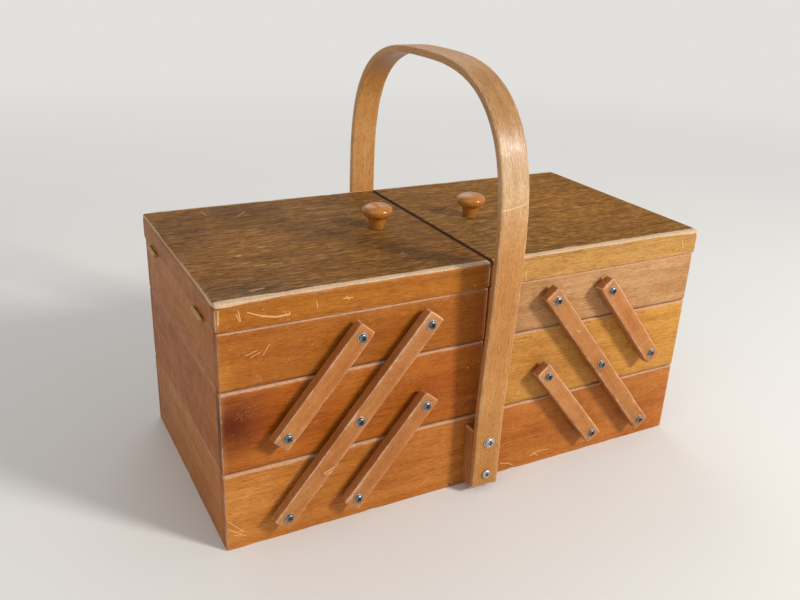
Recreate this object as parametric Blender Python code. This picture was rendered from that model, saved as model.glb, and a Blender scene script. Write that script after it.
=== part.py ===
"""Cantilever sewing box: three tiers of wooden trays on parallel arms, two hinged lids
with turned knobs, and a bent-wood strap handle.

Units are metres, +Z is up. +X runs along the front to the right, -Y faces the front, and
the origin is on the floor under the middle of the box. The box is modelled closed."""

import math

import bmesh
import bpy
from mathutils import Matrix, Vector

MM = 0.001

# The box
BODY_LENGTH = 440 * MM          # X, over the ends of the trays
BODY_DEPTH = 215 * MM           # Y, over the long sides
TIER_HEIGHT = 68 * MM           # pitch of the three tiers
TIER_GAP = 0.6 * MM             # between one tier and the next
CENTRE_GAP = 2.0 * MM           # seam between the left and right trays
WALL = 8 * MM                   # side and end boards
TRAY_BASE = 4 * MM              # plywood base of a tray
TRAY_BASE_LIFT = 1 * MM         # the base sits above the bottom edge of its walls
BOTTOM_BASE = 6 * MM            # base of the bottom box, flush with its walls
JOINT_GAP = 0.3 * MM            # glue line, and the space under anything that seats
BOARD_EDGE = 0.8 * MM           # chamfer on the boards

# The lids
LID_HEIGHT = 22 * MM
LID_PANEL = 4 * MM              # plywood top of a lid
LID_OVERHANG = 1 * MM           # past the tray on its three outer sides

# The hinges at the outer ends of the lids
HINGE_LENGTH = 24 * MM
HINGE_FROM_SIDE = 38 * MM       # middle of a hinge to the long side of the tray
LEAF = 1 * MM                   # plate thickness
LEAF_INSET = 0.3 * MM           # the plate stops this far inside the wall
KNUCKLE_RADIUS = 1.7 * MM
PIN_RADIUS = 0.8 * MM
MIDDLE_KNUCKLE = 8 * MM

# The knobs
KNOB_FROM_CENTRE = 47 * MM
KNOB_RADIUS = 13 * MM
KNOB_NECK = 6.8 * MM            # radius
KNOB_HEIGHT = 21 * MM
KNOB_BRIM = 14.8 * MM           # height of the widest point
KNOB_BORE_DEPTH = 13 * MM

# The arms and their pivots
ARM_WIDTH = 15.4 * MM
ARM_THICKNESS = 9.4 * MM
ARM_BOSS = 3.2 * MM             # the round bosses that hold an arm off the walls
BOSS_RADIUS = 5.5 * MM
ARM_GAP = 0.6 * MM              # boss to the wall that it turns on
ARM_END = 9 * MM                # wood beyond the end pivots
PIVOT_HOLE = 2.2 * MM           # radius
PILOT_HOLE = 1.8 * MM           # radius, in the walls
PILOT_DEPTH = 6.5 * MM
INNER_PIVOT_X = 59.5 * MM       # pivot nearest the centre
OUTER_PIVOT_INSET = 45.5 * MM   # pivot nearest the end, from the end of the box
LOW_PIVOT_Z = 26 * MM           # pivots on the bottom box
TOP_PIVOT_DROP = 16 * MM        # pivots on the top tray, below the lid seam

# The handle
STRIP_WIDTH = 25 * MM
STRIP_THICKNESS = 6.5 * MM
STRIP_EDGE = 1.2 * MM
STRIP_FOOT_Z = 6 * MM           # lower end of the strip
SPACER_THICKNESS = 11.2 * MM
SPACER_TOP_Z = 60 * MM
HANDLE_RISE = 147.3 * MM        # top of the handle above the lids
HANDLE_SHOULDER = 11 * MM       # height above the lids where the arch begins
HANDLE_SPREAD = 6.4 * MM        # the legs lean out this far on the way up
ARCH_POWER = 2.87               # 2 is an ellipse, and a larger number is squarer

# Screws
HANDLE_SCREW_Z = (18.5 * MM, 49.5 * MM)
SCREW_RADIUS = 2.0 * MM
SCREW_HEAD_RADIUS = 4.2 * MM
SCREW_HEAD_HEIGHT = 2.4 * MM
SCREW_CLEARANCE = 0.3 * MM      # between a shank and its hole
SCREW_BITE = 6 * MM             # shank length in the wall
KNOB_SCREW_BITE = 12 * MM       # shank length in the knob

ROUND_SIDES = 20

# Worked out from the sizes above
HALF_LENGTH = BODY_LENGTH / 2
HALF_DEPTH = BODY_DEPTH / 2
BODY_HEIGHT = 3 * TIER_HEIGHT
LID_SEAM_Z = BODY_HEIGHT - LID_HEIGHT
TOP_PIVOT_Z = LID_SEAM_Z - TOP_PIVOT_DROP
PIVOT_STEP_X = (HALF_LENGTH - OUTER_PIVOT_INSET - INNER_PIVOT_X) / 2
PIVOT_STEP_Z = (TOP_PIVOT_Z - LOW_PIVOT_Z) / 2
PIVOT_X = [INNER_PIVOT_X + i * PIVOT_STEP_X for i in range(3)]     # from the centre outwards
PIVOT_Z = [LOW_PIVOT_Z + i * PIVOT_STEP_Z for i in range(3)]       # from the bottom up
HINGE_AXIS_X = HALF_LENGTH + LID_OVERHANG + KNUCKLE_RADIUS - 0.1 * MM

SIDES = {"left": -1, "right": 1}
FACES = {"front": -1, "back": 1}


def clear_scene():
    for item in list(bpy.data.objects):
        bpy.data.objects.remove(item, do_unlink=True)


def make_material(name, colour, roughness, metallic=0.0):
    """A Principled material with one colour."""
    material = bpy.data.materials.new(name)
    material.use_nodes = True
    shader = material.node_tree.nodes["Principled BSDF"]
    shader.inputs["Base Color"].default_value = (*colour, 1.0)
    shader.inputs["Roughness"].default_value = roughness
    shader.inputs["Metallic"].default_value = metallic
    material.diffuse_color = (*colour, 1.0)
    return material


def world_point(item):
    """Where an unturned object or empty stands, through its parents."""
    point = Vector((0, 0, 0))
    while item is not None:
        point += item.location
        item = item.parent
    return point


def add_pivot(name, point, parent=None):
    """An empty on a joint's axis, which carries what turns about it."""
    pivot = bpy.data.objects.new(name, None)
    bpy.context.collection.objects.link(pivot)
    pivot.empty_display_size = 0.02
    pivot.parent = parent
    pivot.location = Vector(point) - world_point(parent)
    return pivot


def add_solid(name, mesh, place, material, parent=None):
    """An object for one sub-part, at a place given in the box's own frame."""
    solid = bpy.data.objects.new(name, mesh)
    bpy.context.collection.objects.link(solid)
    solid.parent = parent
    solid.location = Vector(place) - world_point(parent)
    if material is not None:
        mesh.materials.append(material)
    return solid


def mesh_from(name, build):
    """A mesh filled by build(bm), with its faces turned outwards."""
    bm = bmesh.new()
    build(bm)
    bmesh.ops.recalc_face_normals(bm, faces=bm.faces)
    mesh = bpy.data.meshes.new(name)
    bm.to_mesh(mesh)
    bm.free()
    return mesh


def add_box_to(bm, low, high):
    """A box between two corners, in any order."""
    low, high = Vector(low), Vector(high)
    size = [abs(high[i] - low[i]) for i in range(3)]
    matrix = Matrix.Translation((low + high) / 2) @ Matrix.Diagonal((*size, 1.0))
    bmesh.ops.create_cube(bm, size=1.0, matrix=matrix)


def add_rod_to(bm, start, end, radius):
    """A round rod between two points."""
    start, end = Vector(start), Vector(end)
    along = end - start
    turn = Vector((0, 0, 1)).rotation_difference(along).to_matrix().to_4x4()
    bmesh.ops.create_cone(
        bm, cap_ends=True, segments=ROUND_SIDES, radius1=radius, radius2=radius,
        depth=along.length, matrix=Matrix.Translation((start + end) / 2) @ turn)


def helper_solid(name, build):
    """A hidden solid that cuts another or is joined to it."""
    helper = add_solid(name, mesh_from(name, build), (0, 0, 0), None)
    helper.hide_render = True
    helper.display_type = "WIRE"
    return helper


def combine(solid, helper, operation):
    modifier = solid.modifiers.new(operation.capitalize(), "BOOLEAN")
    modifier.operation = operation
    modifier.solver = "EXACT"
    modifier.object = helper


def cut_boxes(solid, boxes):
    """Cut boxes, given by two corners each, out of a solid."""
    def build(bm):
        for low, high in boxes:
            add_box_to(bm, low, high)
    combine(solid, helper_solid(solid.name + "_pocket_cutter", build), "DIFFERENCE")


def drill(solid, holes):
    """Drill round holes, each (start, end, radius), into a solid."""
    def build(bm):
        for start, end, radius in holes:
            add_rod_to(bm, start, end, radius)
    combine(solid, helper_solid(solid.name + "_drill", build), "DIFFERENCE")


def soften_edges(solid, width):
    """Chamfer the sharp edges."""
    bevel = solid.modifiers.new("Edges", "BEVEL")
    bevel.width = width
    bevel.segments = 1
    bevel.limit_method = "ANGLE"


def add_board(name, low, high, material, parent=None):
    """A flat board between two corners, with chamfered edges."""
    low, high = Vector(low), Vector(high)
    centre = (low + high) / 2
    mesh = mesh_from(name, lambda bm: add_box_to(bm, low - centre, high - centre))
    board = add_solid(name, mesh, centre, material, parent)
    soften_edges(board, BOARD_EDGE)
    return board


def add_turned(name, profile, place, material, parent=None, axis=(0, 0, 1)):
    """A solid turned from a profile of (radius, height) that starts and ends on its axis."""
    def build(bm):
        rings = []
        for radius, height in profile:
            if radius == 0:
                rings.append([bm.verts.new((0, 0, height))])
                continue
            angles = [2 * math.pi * i / ROUND_SIDES for i in range(ROUND_SIDES)]
            rings.append([bm.verts.new((radius * math.cos(a), radius * math.sin(a), height))
                          for a in angles])
        for lower, upper in zip(rings, rings[1:]):
            for i in range(ROUND_SIDES):
                j = (i + 1) % ROUND_SIDES
                if len(lower) == 1:
                    bm.faces.new((lower[0], upper[i], upper[j]))
                elif len(upper) == 1:
                    bm.faces.new((lower[i], upper[0], lower[j]))
                else:
                    bm.faces.new((lower[i], upper[i], upper[j], lower[j]))
    mesh = mesh_from(name, build)
    mesh.shade_smooth()
    mesh.set_sharp_from_angle(angle=math.radians(40))
    turned = add_solid(name, mesh, place, material, parent)
    turned.rotation_euler = Vector((0, 0, 1)).rotation_difference(Vector(axis)).to_euler()
    return turned


def screw_profile(shank_length):
    """A round-headed screw: the head stands on height 0 and the shank hangs below it."""
    dome = [(SCREW_HEAD_RADIUS * math.cos(a), SCREW_HEAD_HEIGHT * math.sin(a))
            for a in (math.radians(d) for d in (0, 25, 50, 70))]
    tip = 0.6 * SCREW_RADIUS
    return ([(0, -shank_length), (tip, -shank_length), (SCREW_RADIUS, -shank_length + tip),
             (SCREW_RADIUS, 0)] + dome + [(0, SCREW_HEAD_HEIGHT)])


def tier_span(tier):
    """Lowest and highest height of a tier's walls: 0 is the bottom box, 2 is the top tray."""
    low = 0 if tier == 0 else tier * TIER_HEIGHT + TIER_GAP / 2
    seam = LID_SEAM_Z if tier == 2 else (tier + 1) * TIER_HEIGHT
    return low, seam - TIER_GAP / 2


def pivot_holes(face, points):
    """Pilot holes in a long side for the pivots at (x, z) points."""
    wall = face * HALF_DEPTH
    return [((x, wall + face * WALL, z), (x, wall - face * PILOT_DEPTH, z), PILOT_HOLE)
            for x, z in points]


def hinge_places():
    """Middle of each hinge along Y."""
    return [face * (HALF_DEPTH - HINGE_FROM_SIDE) for face in FACES.values()]


def hinge_pocket(side, low_z, high_z):
    """Boxes that clear the hinge plates in the outer end between two heights."""
    half = HINGE_LENGTH / 2 + JOINT_GAP
    inside = side * (HALF_LENGTH - 2 * WALL)
    outside = side * (HALF_LENGTH + WALL)
    return [((inside, y - half, low_z), (outside, y + half, high_z)) for y in hinge_places()]


def leaf_heights(part):
    """Lower and upper face of a hinge plate: part is -1 on the tray and 1 on the lid."""
    near = LID_SEAM_Z + part * JOINT_GAP / 2
    return near, near + part * LEAF


def pocket_floor(part):
    """Height of the pocket's floor behind a hinge plate."""
    return leaf_heights(part)[1] + part * JOINT_GAP


def build_tray(name, tier, ends, base_span, materials, parent, holes):
    """Four walls and a base. ends gives each end's name and the X of its two faces."""
    low, high = tier_span(tier)
    outer = [x for _, faces in ends for x in faces]
    left, right = min(outer), max(outer)
    walls = {}
    for face_name, face in FACES.items():
        wall = add_board(f"{name}_{face_name}", (left, face * HALF_DEPTH, low),
                         (right, face * (HALF_DEPTH - WALL), high), materials["wall"], parent)
        drill(wall, holes(face))
        walls[face_name] = wall
    inner_y = HALF_DEPTH - WALL - JOINT_GAP
    for end_name, (x0, x1) in ends:
        walls[end_name] = add_board(f"{name}_{end_name}", (x0, -inner_y, low),
                                    (x1, inner_y, high), materials["end"], parent)
    base_low, base_high = base_span
    inner_left = left + WALL + JOINT_GAP
    inner_right = right - WALL - JOINT_GAP
    add_board(f"{name}_base", (inner_left, -inner_y, base_low),
              (inner_right, inner_y, base_high), materials["base"], parent)
    return walls


def build_bottom_box(materials):
    """The full-length bottom box, which holds the lowest pivots and the handle."""
    def holes(face):
        pivots = [(side * x, PIVOT_Z[0]) for side in SIDES.values() for x in PIVOT_X[1:]]
        wall = face * HALF_DEPTH
        bite = SCREW_BITE + 2 * SCREW_CLEARANCE
        screws = [((0, wall + face * WALL, z), (0, wall - face * bite, z),
                   SCREW_RADIUS + SCREW_CLEARANCE) for z in HANDLE_SCREW_Z]
        return pivot_holes(face, pivots) + screws
    ends = [("left_end", (-HALF_LENGTH, -HALF_LENGTH + WALL)),
            ("right_end", (HALF_LENGTH - WALL, HALF_LENGTH))]
    build_tray("bottom_box", 0, ends, (0, BOTTOM_BASE), materials, None, holes)


def build_side_tray(side_name, tier_name, tier, materials, parent):
    """A middle or top tray on one side of the centre."""
    side = SIDES[side_name]
    inner = side * CENTRE_GAP / 2
    outer = side * HALF_LENGTH
    ends = [("inner_end", (inner, inner + side * WALL)),
            ("outer_end", (outer - side * WALL, outer))]
    low = tier_span(tier)[0] + TRAY_BASE_LIFT
    columns = (PIVOT_X[0], PIVOT_X[2]) if tier == 1 else (PIVOT_X[0],)
    points = [(side * x, PIVOT_Z[tier]) for x in sorted({*columns, PIVOT_X[1]})]
    return build_tray(f"{side_name}_{tier_name}_tray", tier, ends, (low, low + TRAY_BASE),
                      materials, parent, lambda face: pivot_holes(face, points))


def build_hinge(name, side, middle_y, tray_pivot, lid_pivot, material):
    """A butt hinge let into the seam: its knuckles stand just outside the end."""
    axis_x = side * HINGE_AXIS_X
    plate_inner = side * (HALF_LENGTH - WALL + LEAF_INSET)
    plate_outer = side * (HINGE_AXIS_X - KNUCKLE_RADIUS - JOINT_GAP)
    half = HINGE_LENGTH / 2
    split = MIDDLE_KNUCKLE / 2
    knuckles = {-1: [(-half, -split - JOINT_GAP / 2), (split + JOINT_GAP / 2, half)],
                1: [(-split + JOINT_GAP / 2, split - JOINT_GAP / 2)]}
    for part, part_name, parent in ((-1, "tray_leaf", tray_pivot), (1, "lid_leaf", lid_pivot)):
        near, far = leaf_heights(part)
        leaf_name = f"{name}_{part_name}"
        origin = Vector((axis_x, middle_y, LID_SEAM_Z))
        plate = mesh_from(leaf_name, lambda bm: add_box_to(
            bm, Vector((plate_inner, middle_y - half, near)) - origin,
            Vector((plate_outer, middle_y + half, far)) - origin))
        leaf = add_solid(leaf_name, plate, origin, material, parent)

        for number, (y0, y1) in enumerate(knuckles[part]):
            combine(leaf, helper_solid(f"{leaf_name}_tab_{number}", lambda bm: add_box_to(
                bm, (plate_inner + side * LEAF, middle_y + y0, near),
                (axis_x - side * PIN_RADIUS / 2, middle_y + y1, far))), "UNION")
            combine(leaf, helper_solid(f"{leaf_name}_knuckle_{number}", lambda bm: add_rod_to(
                bm, (axis_x, middle_y + y0, LID_SEAM_Z), (axis_x, middle_y + y1, LID_SEAM_Z),
                KNUCKLE_RADIUS)), "UNION")
        ends = [(axis_x, middle_y + end * (half - LEAF), LID_SEAM_Z) for end in (-1, 1)]
        if part == -1:
            combine(leaf, helper_solid(f"{leaf_name}_pin", lambda bm: add_rod_to(
                bm, ends[0], ends[1], PIN_RADIUS)), "UNION")
        else:
            drill(leaf, [(ends[0], ends[1], PIN_RADIUS + JOINT_GAP)])


def build_lid(side_name, parent, materials):
    """A plywood panel on a mitred rim."""
    side = SIDES[side_name]
    inner = side * CENTRE_GAP / 2
    outer = side * (HALF_LENGTH + LID_OVERHANG)
    reach = HALF_DEPTH + LID_OVERHANG
    rim_low = LID_SEAM_Z + TIER_GAP / 2
    rim_high = BODY_HEIGHT - LID_PANEL - JOINT_GAP

    panel = add_board(f"{side_name}_lid_panel", (inner, -reach, BODY_HEIGHT - LID_PANEL),
                      (outer, reach, BODY_HEIGHT), materials["panel"], parent)
    knob_x = side * KNOB_FROM_CENTRE
    drill(panel, [((knob_x, 0, BODY_HEIGHT + LID_PANEL), (knob_x, 0, rim_high - LID_PANEL),
                   SCREW_RADIUS + SCREW_CLEARANCE)])

    rim = add_board(f"{side_name}_lid_rim", (inner, -reach, rim_low), (outer, reach, rim_high),
                    materials["wall"], parent)
    hollow = ((inner + side * WALL, -reach + WALL, rim_low - WALL),
              (outer - side * WALL, reach - WALL, rim_high + WALL))
    cut_boxes(rim, [hollow])
    cut_boxes(rim, hinge_pocket(side, rim_low - WALL, pocket_floor(1)))


def build_knob(side_name, parent, materials):
    """A turned knob held by a screw from inside the lid."""
    bore = SCREW_RADIUS + SCREW_CLEARANCE
    flare = 0.27                                    # how much wider the neck ends than it starts
    neck = [(KNOB_NECK * (1 + flare * t ** 3), t * (KNOB_BRIM - 5 * MM))
            for t in (0, 0.4, 0.7, 1.0)]
    under = [(KNOB_RADIUS * math.cos(a), KNOB_BRIM + 5 * MM * math.sin(a))
             for a in (math.radians(d) for d in (-42, -22))]
    dome = [(KNOB_RADIUS * math.cos(a), KNOB_BRIM + (KNOB_HEIGHT - KNOB_BRIM) * math.sin(a))
            for a in (math.radians(d) for d in (0, 22, 44, 66))]
    profile = ([(0, KNOB_BORE_DEPTH), (bore, KNOB_BORE_DEPTH), (bore, 0)] + neck + under + dome
               + [(0, KNOB_HEIGHT)])
    x = SIDES[side_name] * KNOB_FROM_CENTRE
    add_turned(f"{side_name}_knob", profile, (x, 0, BODY_HEIGHT + JOINT_GAP),
               materials["knob"], parent)
    shank = LID_PANEL + 2 * JOINT_GAP + KNOB_SCREW_BITE
    add_turned(f"{side_name}_knob_screw", screw_profile(shank),
               (x, 0, BODY_HEIGHT - LID_PANEL - JOINT_GAP), materials["screw"], parent,
               axis=(0, 0, -1))


def build_arm(name, face, points, parent, material):
    """A flat arm with its end pivots on the first and last of its (x, z) points.

    A boss round each hole stands between the arm and the wall."""
    ends = [Vector((x, 0, z)) for x, z in (points[0], points[-1])]
    along = ends[1] - ends[0]
    boss_face = HALF_DEPTH + ARM_GAP
    near = boss_face + ARM_BOSS
    far = near + ARM_THICKNESS
    middle = Vector((points[0][0], face * (near + ARM_THICKNESS / 2), points[0][1]))
    mesh = mesh_from(name, lambda bm: add_box_to(
        bm, (-ARM_END, -ARM_THICKNESS / 2, -ARM_WIDTH / 2),
        (along.length + ARM_END, ARM_THICKNESS / 2, ARM_WIDTH / 2)))
    arm = add_solid(name, mesh, middle, material, parent)
    arm.rotation_euler = (0, math.atan2(-along.z, along.x), 0)
    soften_edges(arm, BOARD_EDGE)

    def bosses(bm):
        for x, z in points:
            add_rod_to(bm, (x, face * boss_face, z), (x, face * (near + far) / 2, z), BOSS_RADIUS)
    combine(arm, helper_solid(name + "_bosses", bosses), "UNION")
    drill(arm, [((x, face * (boss_face - WALL), z), (x, face * (far + WALL), z), PIVOT_HOLE)
                for x, z in points])


def build_side(side_name, materials):
    """Trays, arms, lid, hinges and knob of one side, on the pivots that move them."""
    side = SIDES[side_name]
    low, mid, top = PIVOT_Z
    inner, centre, outer = (side * x for x in PIVOT_X)
    hinge_axis = (side * HINGE_AXIS_X, 0, LID_SEAM_Z)

    long_pivot = add_pivot(f"{side_name}_long_arm_pivot", (outer, 0, low))
    lower_pivot = add_pivot(f"{side_name}_lower_arm_pivot", (centre, 0, low))
    middle_pivot = add_pivot(f"{side_name}_middle_tray_pivot", (centre, 0, mid), long_pivot)
    top_pivot = add_pivot(f"{side_name}_top_tray_pivot", (inner, 0, top), long_pivot)
    upper_pivot = add_pivot(f"{side_name}_upper_arm_pivot", (outer, 0, mid), middle_pivot)
    lid_pivot = add_pivot(f"{side_name}_lid_pivot", hinge_axis, top_pivot)

    build_side_tray(side_name, "middle", 1, materials, middle_pivot)
    walls = build_side_tray(side_name, "top", 2, materials, top_pivot)
    cut_boxes(walls["outer_end"], hinge_pocket(side, pocket_floor(-1), LID_SEAM_Z + WALL))

    arms = {"long_arm": (long_pivot, [(outer, low), (centre, mid), (inner, top)]),
            "lower_arm": (lower_pivot, [(centre, low), (inner, mid)]),
            "upper_arm": (upper_pivot, [(outer, mid), (centre, top)])}
    for face_name, face in FACES.items():
        for arm_name, (pivot, points) in arms.items():
            build_arm(f"{side_name}_{arm_name}_{face_name}", face, points, pivot,
                      materials["arm"])

    build_lid(side_name, lid_pivot, materials)
    build_knob(side_name, lid_pivot, materials)
    for face_name, y in zip(FACES, hinge_places()):
        build_hinge(f"{side_name}_hinge_{face_name}", side, y, top_pivot, lid_pivot,
                    materials["hinge"])


def leg_outer_y(z):
    """Distance of a leg's outer face from the middle: upright at the foot, then leaning out."""
    foot = HALF_DEPTH + SPACER_THICKNESS + 2 * JOINT_GAP + STRIP_THICKNESS
    t = (z - SPACER_TOP_Z) / (BODY_HEIGHT + HANDLE_SHOULDER - SPACER_TOP_Z)
    t = min(max(t, 0), 1)
    return foot + HANDLE_SPREAD * t * t * (3 - 2 * t)


def handle_outline():
    """(y, z) points of the handle's outer face, from the front foot over to the back foot."""
    shoulder_z = BODY_HEIGHT + HANDLE_SHOULDER
    half_width = leg_outer_y(shoulder_z)
    arch_height = HANDLE_RISE - HANDLE_SHOULDER
    leg_z = [STRIP_FOOT_Z] + [SPACER_TOP_Z + (shoulder_z - SPACER_TOP_Z) * i / 6
                              for i in range(6)]
    leg = [(leg_outer_y(z), z) for z in leg_z]
    arch = []
    steps = 40
    for i in range(steps + 1):
        angle = math.pi * i / steps
        across, up = math.cos(angle), math.sin(angle)
        y = half_width * math.copysign(abs(across) ** (2 / ARCH_POWER), across)
        arch.append((-y, shoulder_z + arch_height * up ** (2 / ARCH_POWER)))
    return [(-y, z) for y, z in leg] + arch + leg[::-1]


def build_handle(materials):
    """The bent strip, the blocks that hold it off the box, and its screws."""
    outline = [Vector((0, y, z)) for y, z in handle_outline()]
    half, edge, thick = STRIP_WIDTH / 2, STRIP_EDGE, STRIP_THICKNESS
    section = [(-half + edge, 0), (half - edge, 0), (half, edge), (half, thick - edge),
               (half - edge, thick), (-half + edge, thick), (-half, thick - edge),
               (-half, edge)]

    def build(bm):
        rings = []
        for i, point in enumerate(outline):
            ahead = outline[min(i + 1, len(outline) - 1)] - outline[max(i - 1, 0)]
            if i == 0 or i == len(outline) - 1:
                ahead.y = 0
            inward = ahead.normalized().cross(Vector((1, 0, 0)))
            rings.append([bm.verts.new(point + Vector((x, 0, 0)) + inward * d)
                          for x, d in section])
        for lower, upper in zip(rings, rings[1:]):
            for i in range(len(section)):
                j = (i + 1) % len(section)
                bm.faces.new((lower[i], lower[j], upper[j], upper[i]))
        bm.faces.new(rings[0])
        bm.faces.new(rings[-1])
    mesh = mesh_from("handle_strip", build)
    mesh.shade_smooth()
    mesh.set_sharp_from_angle(angle=math.radians(30))
    strip = add_solid("handle_strip", mesh, (0, 0, 0), materials["handle"])

    outer = leg_outer_y(STRIP_FOOT_Z)
    hole = SCREW_RADIUS + SCREW_CLEARANCE
    holes = [((0, face * (HALF_DEPTH - WALL), z), (0, face * (outer + WALL), z), hole)
             for face in FACES.values() for z in HANDLE_SCREW_Z]
    drill(strip, holes)
    for face_name, face in FACES.items():
        near = HALF_DEPTH + JOINT_GAP
        spacer = add_board(f"handle_spacer_{face_name}",
                           (-half, face * near, STRIP_FOOT_Z),
                           (half, face * (near + SPACER_THICKNESS), SPACER_TOP_Z),
                           materials["arm"])
        drill(spacer, [hole for hole in holes if hole[0][1] * face > 0])
        for level, z in zip(("lower", "upper"), HANDLE_SCREW_Z):
            shank = outer + JOINT_GAP - HALF_DEPTH + SCREW_BITE
            add_turned(f"handle_screw_{face_name}_{level}", screw_profile(shank),
                       (0, face * (outer + JOINT_GAP), z), materials["screw"],
                       axis=(0, face, 0))


def main():
    clear_scene()
    materials = {
        "wall": make_material("stained_wood", (0.44, 0.17, 0.04), 0.45),
        "end": make_material("stained_end_wood", (0.40, 0.15, 0.035), 0.45),
        "base": make_material("plywood", (0.50, 0.27, 0.11), 0.6),
        "panel": make_material("veneered_plywood", (0.24, 0.12, 0.045), 0.5),
        "arm": make_material("arm_wood", (0.50, 0.24, 0.10), 0.45),
        "handle": make_material("bent_beech", (0.58, 0.31, 0.12), 0.35),
        "knob": make_material("turned_beech", (0.45, 0.18, 0.05), 0.3),
        "screw": make_material("steel_screw", (0.55, 0.54, 0.52), 0.35, 1.0),
        "hinge": make_material("brass_hinge", (0.62, 0.44, 0.18), 0.35, 1.0),
    }
    build_bottom_box(materials)
    for side_name in SIDES:
        build_side(side_name, materials)
    build_handle(materials)


main()
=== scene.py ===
import math

import bpy
import numpy as np
from mathutils import Matrix, Vector


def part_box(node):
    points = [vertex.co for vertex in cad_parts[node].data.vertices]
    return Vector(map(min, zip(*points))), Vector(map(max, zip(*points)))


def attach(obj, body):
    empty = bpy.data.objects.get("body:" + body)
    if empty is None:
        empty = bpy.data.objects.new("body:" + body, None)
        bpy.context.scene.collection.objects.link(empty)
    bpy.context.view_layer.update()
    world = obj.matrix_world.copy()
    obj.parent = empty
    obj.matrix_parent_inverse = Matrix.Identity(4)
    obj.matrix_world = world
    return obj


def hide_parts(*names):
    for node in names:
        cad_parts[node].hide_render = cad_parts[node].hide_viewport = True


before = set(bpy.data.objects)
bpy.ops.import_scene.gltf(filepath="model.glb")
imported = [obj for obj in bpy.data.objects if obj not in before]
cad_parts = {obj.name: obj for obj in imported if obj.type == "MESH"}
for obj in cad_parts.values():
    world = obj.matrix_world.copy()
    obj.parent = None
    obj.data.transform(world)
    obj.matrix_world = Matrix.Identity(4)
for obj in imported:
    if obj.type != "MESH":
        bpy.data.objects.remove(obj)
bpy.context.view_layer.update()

mm = 0.001
sides = {"left": -1, "right": 1}            # which way along x
showFaces = {"front": -1, "back": 1}        # which way along y
print("frame loaded:", len(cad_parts), "nodes")


def smoothStep(value, low, high):
    t = np.clip((value - low) / (high - low), 0, 1)
    return t * t * (3 - 2 * t)


def wavyLine(s, rng, longest, waves=6):
    # a sum of sines, each shorter and lower than the one before, with chance phases; it stays within -1 and 1
    total, most = np.zeros_like(s), 0
    for k in range(waves):
        height = 0.75 ** k
        total += height * np.sin(2 * math.pi * s / (longest * 0.57 ** k) + rng.uniform(0, 2 * math.pi))
        most += height
    return total / most


usualLines = (0, 0.3, 0.6, 0.95, 1.4, 2.0, 2.8, 4.0)    # millimetres from an edge
farFromEdge = 30.0                                      # millimetres, where nothing is worn


def gridLines(low, high, step, near=usualLines):
    # places of the grid's lines along one side: close together by both ends, for the rounding,
    # and evenly spaced between
    span = high - low
    close = np.array([d * mm for d in near if d * mm < span * 0.42])
    first, last = low + close[-1], high - close[-1]
    count = max(1, int(round((last - first) / step)))
    middle = np.linspace(first, last, count + 1)[1:-1]
    return np.concatenate([low + close, middle, (high - close)[::-1]])


def shellGrid(lines):
    # the six faces of a block, each a grid on its two lines' parameters, welded along the block's edges;
    # faces point outwards
    counts = [len(one) for one in lines]
    quads = []
    for axis in range(3):
        across, up = (axis + 1) % 3, (axis + 2) % 3
        i, j = np.meshgrid(np.arange(counts[across] - 1), np.arange(counts[up] - 1), indexing="ij")
        for side in (0, counts[axis] - 1):
            corners = []
            for di, dj in ((0, 0), (1, 0), (1, 1), (0, 1)):
                index = [None] * 3
                index[axis] = np.full(i.size, side)
                index[across] = (i + di).ravel()
                index[up] = (j + dj).ravel()
                corners.append((index[0] * counts[1] + index[1]) * counts[2] + index[2])
            quad = np.stack(corners, 1)
            quads.append(quad if side else quad[:, ::-1])
    codes, inverse = np.unique(np.concatenate(quads), return_inverse=True)
    points = np.stack([lines[0][codes // (counts[1] * counts[2])],
                       lines[1][codes // counts[2] % counts[1]],
                       lines[2][codes % counts[2]]], 1)
    return points, inverse.reshape(-1, 4)


def lineDistance(points, low, high, edge):
    # distance from every point to the straight edge where the two named faces of the block meet
    square = np.zeros(len(points))
    for face in edge[:2]:
        axis = "xyz".index(face[1])
        square += (points[:, axis] - (high if face[0] == "+" else low)[axis]) ** 2
    return np.sqrt(square)


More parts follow.
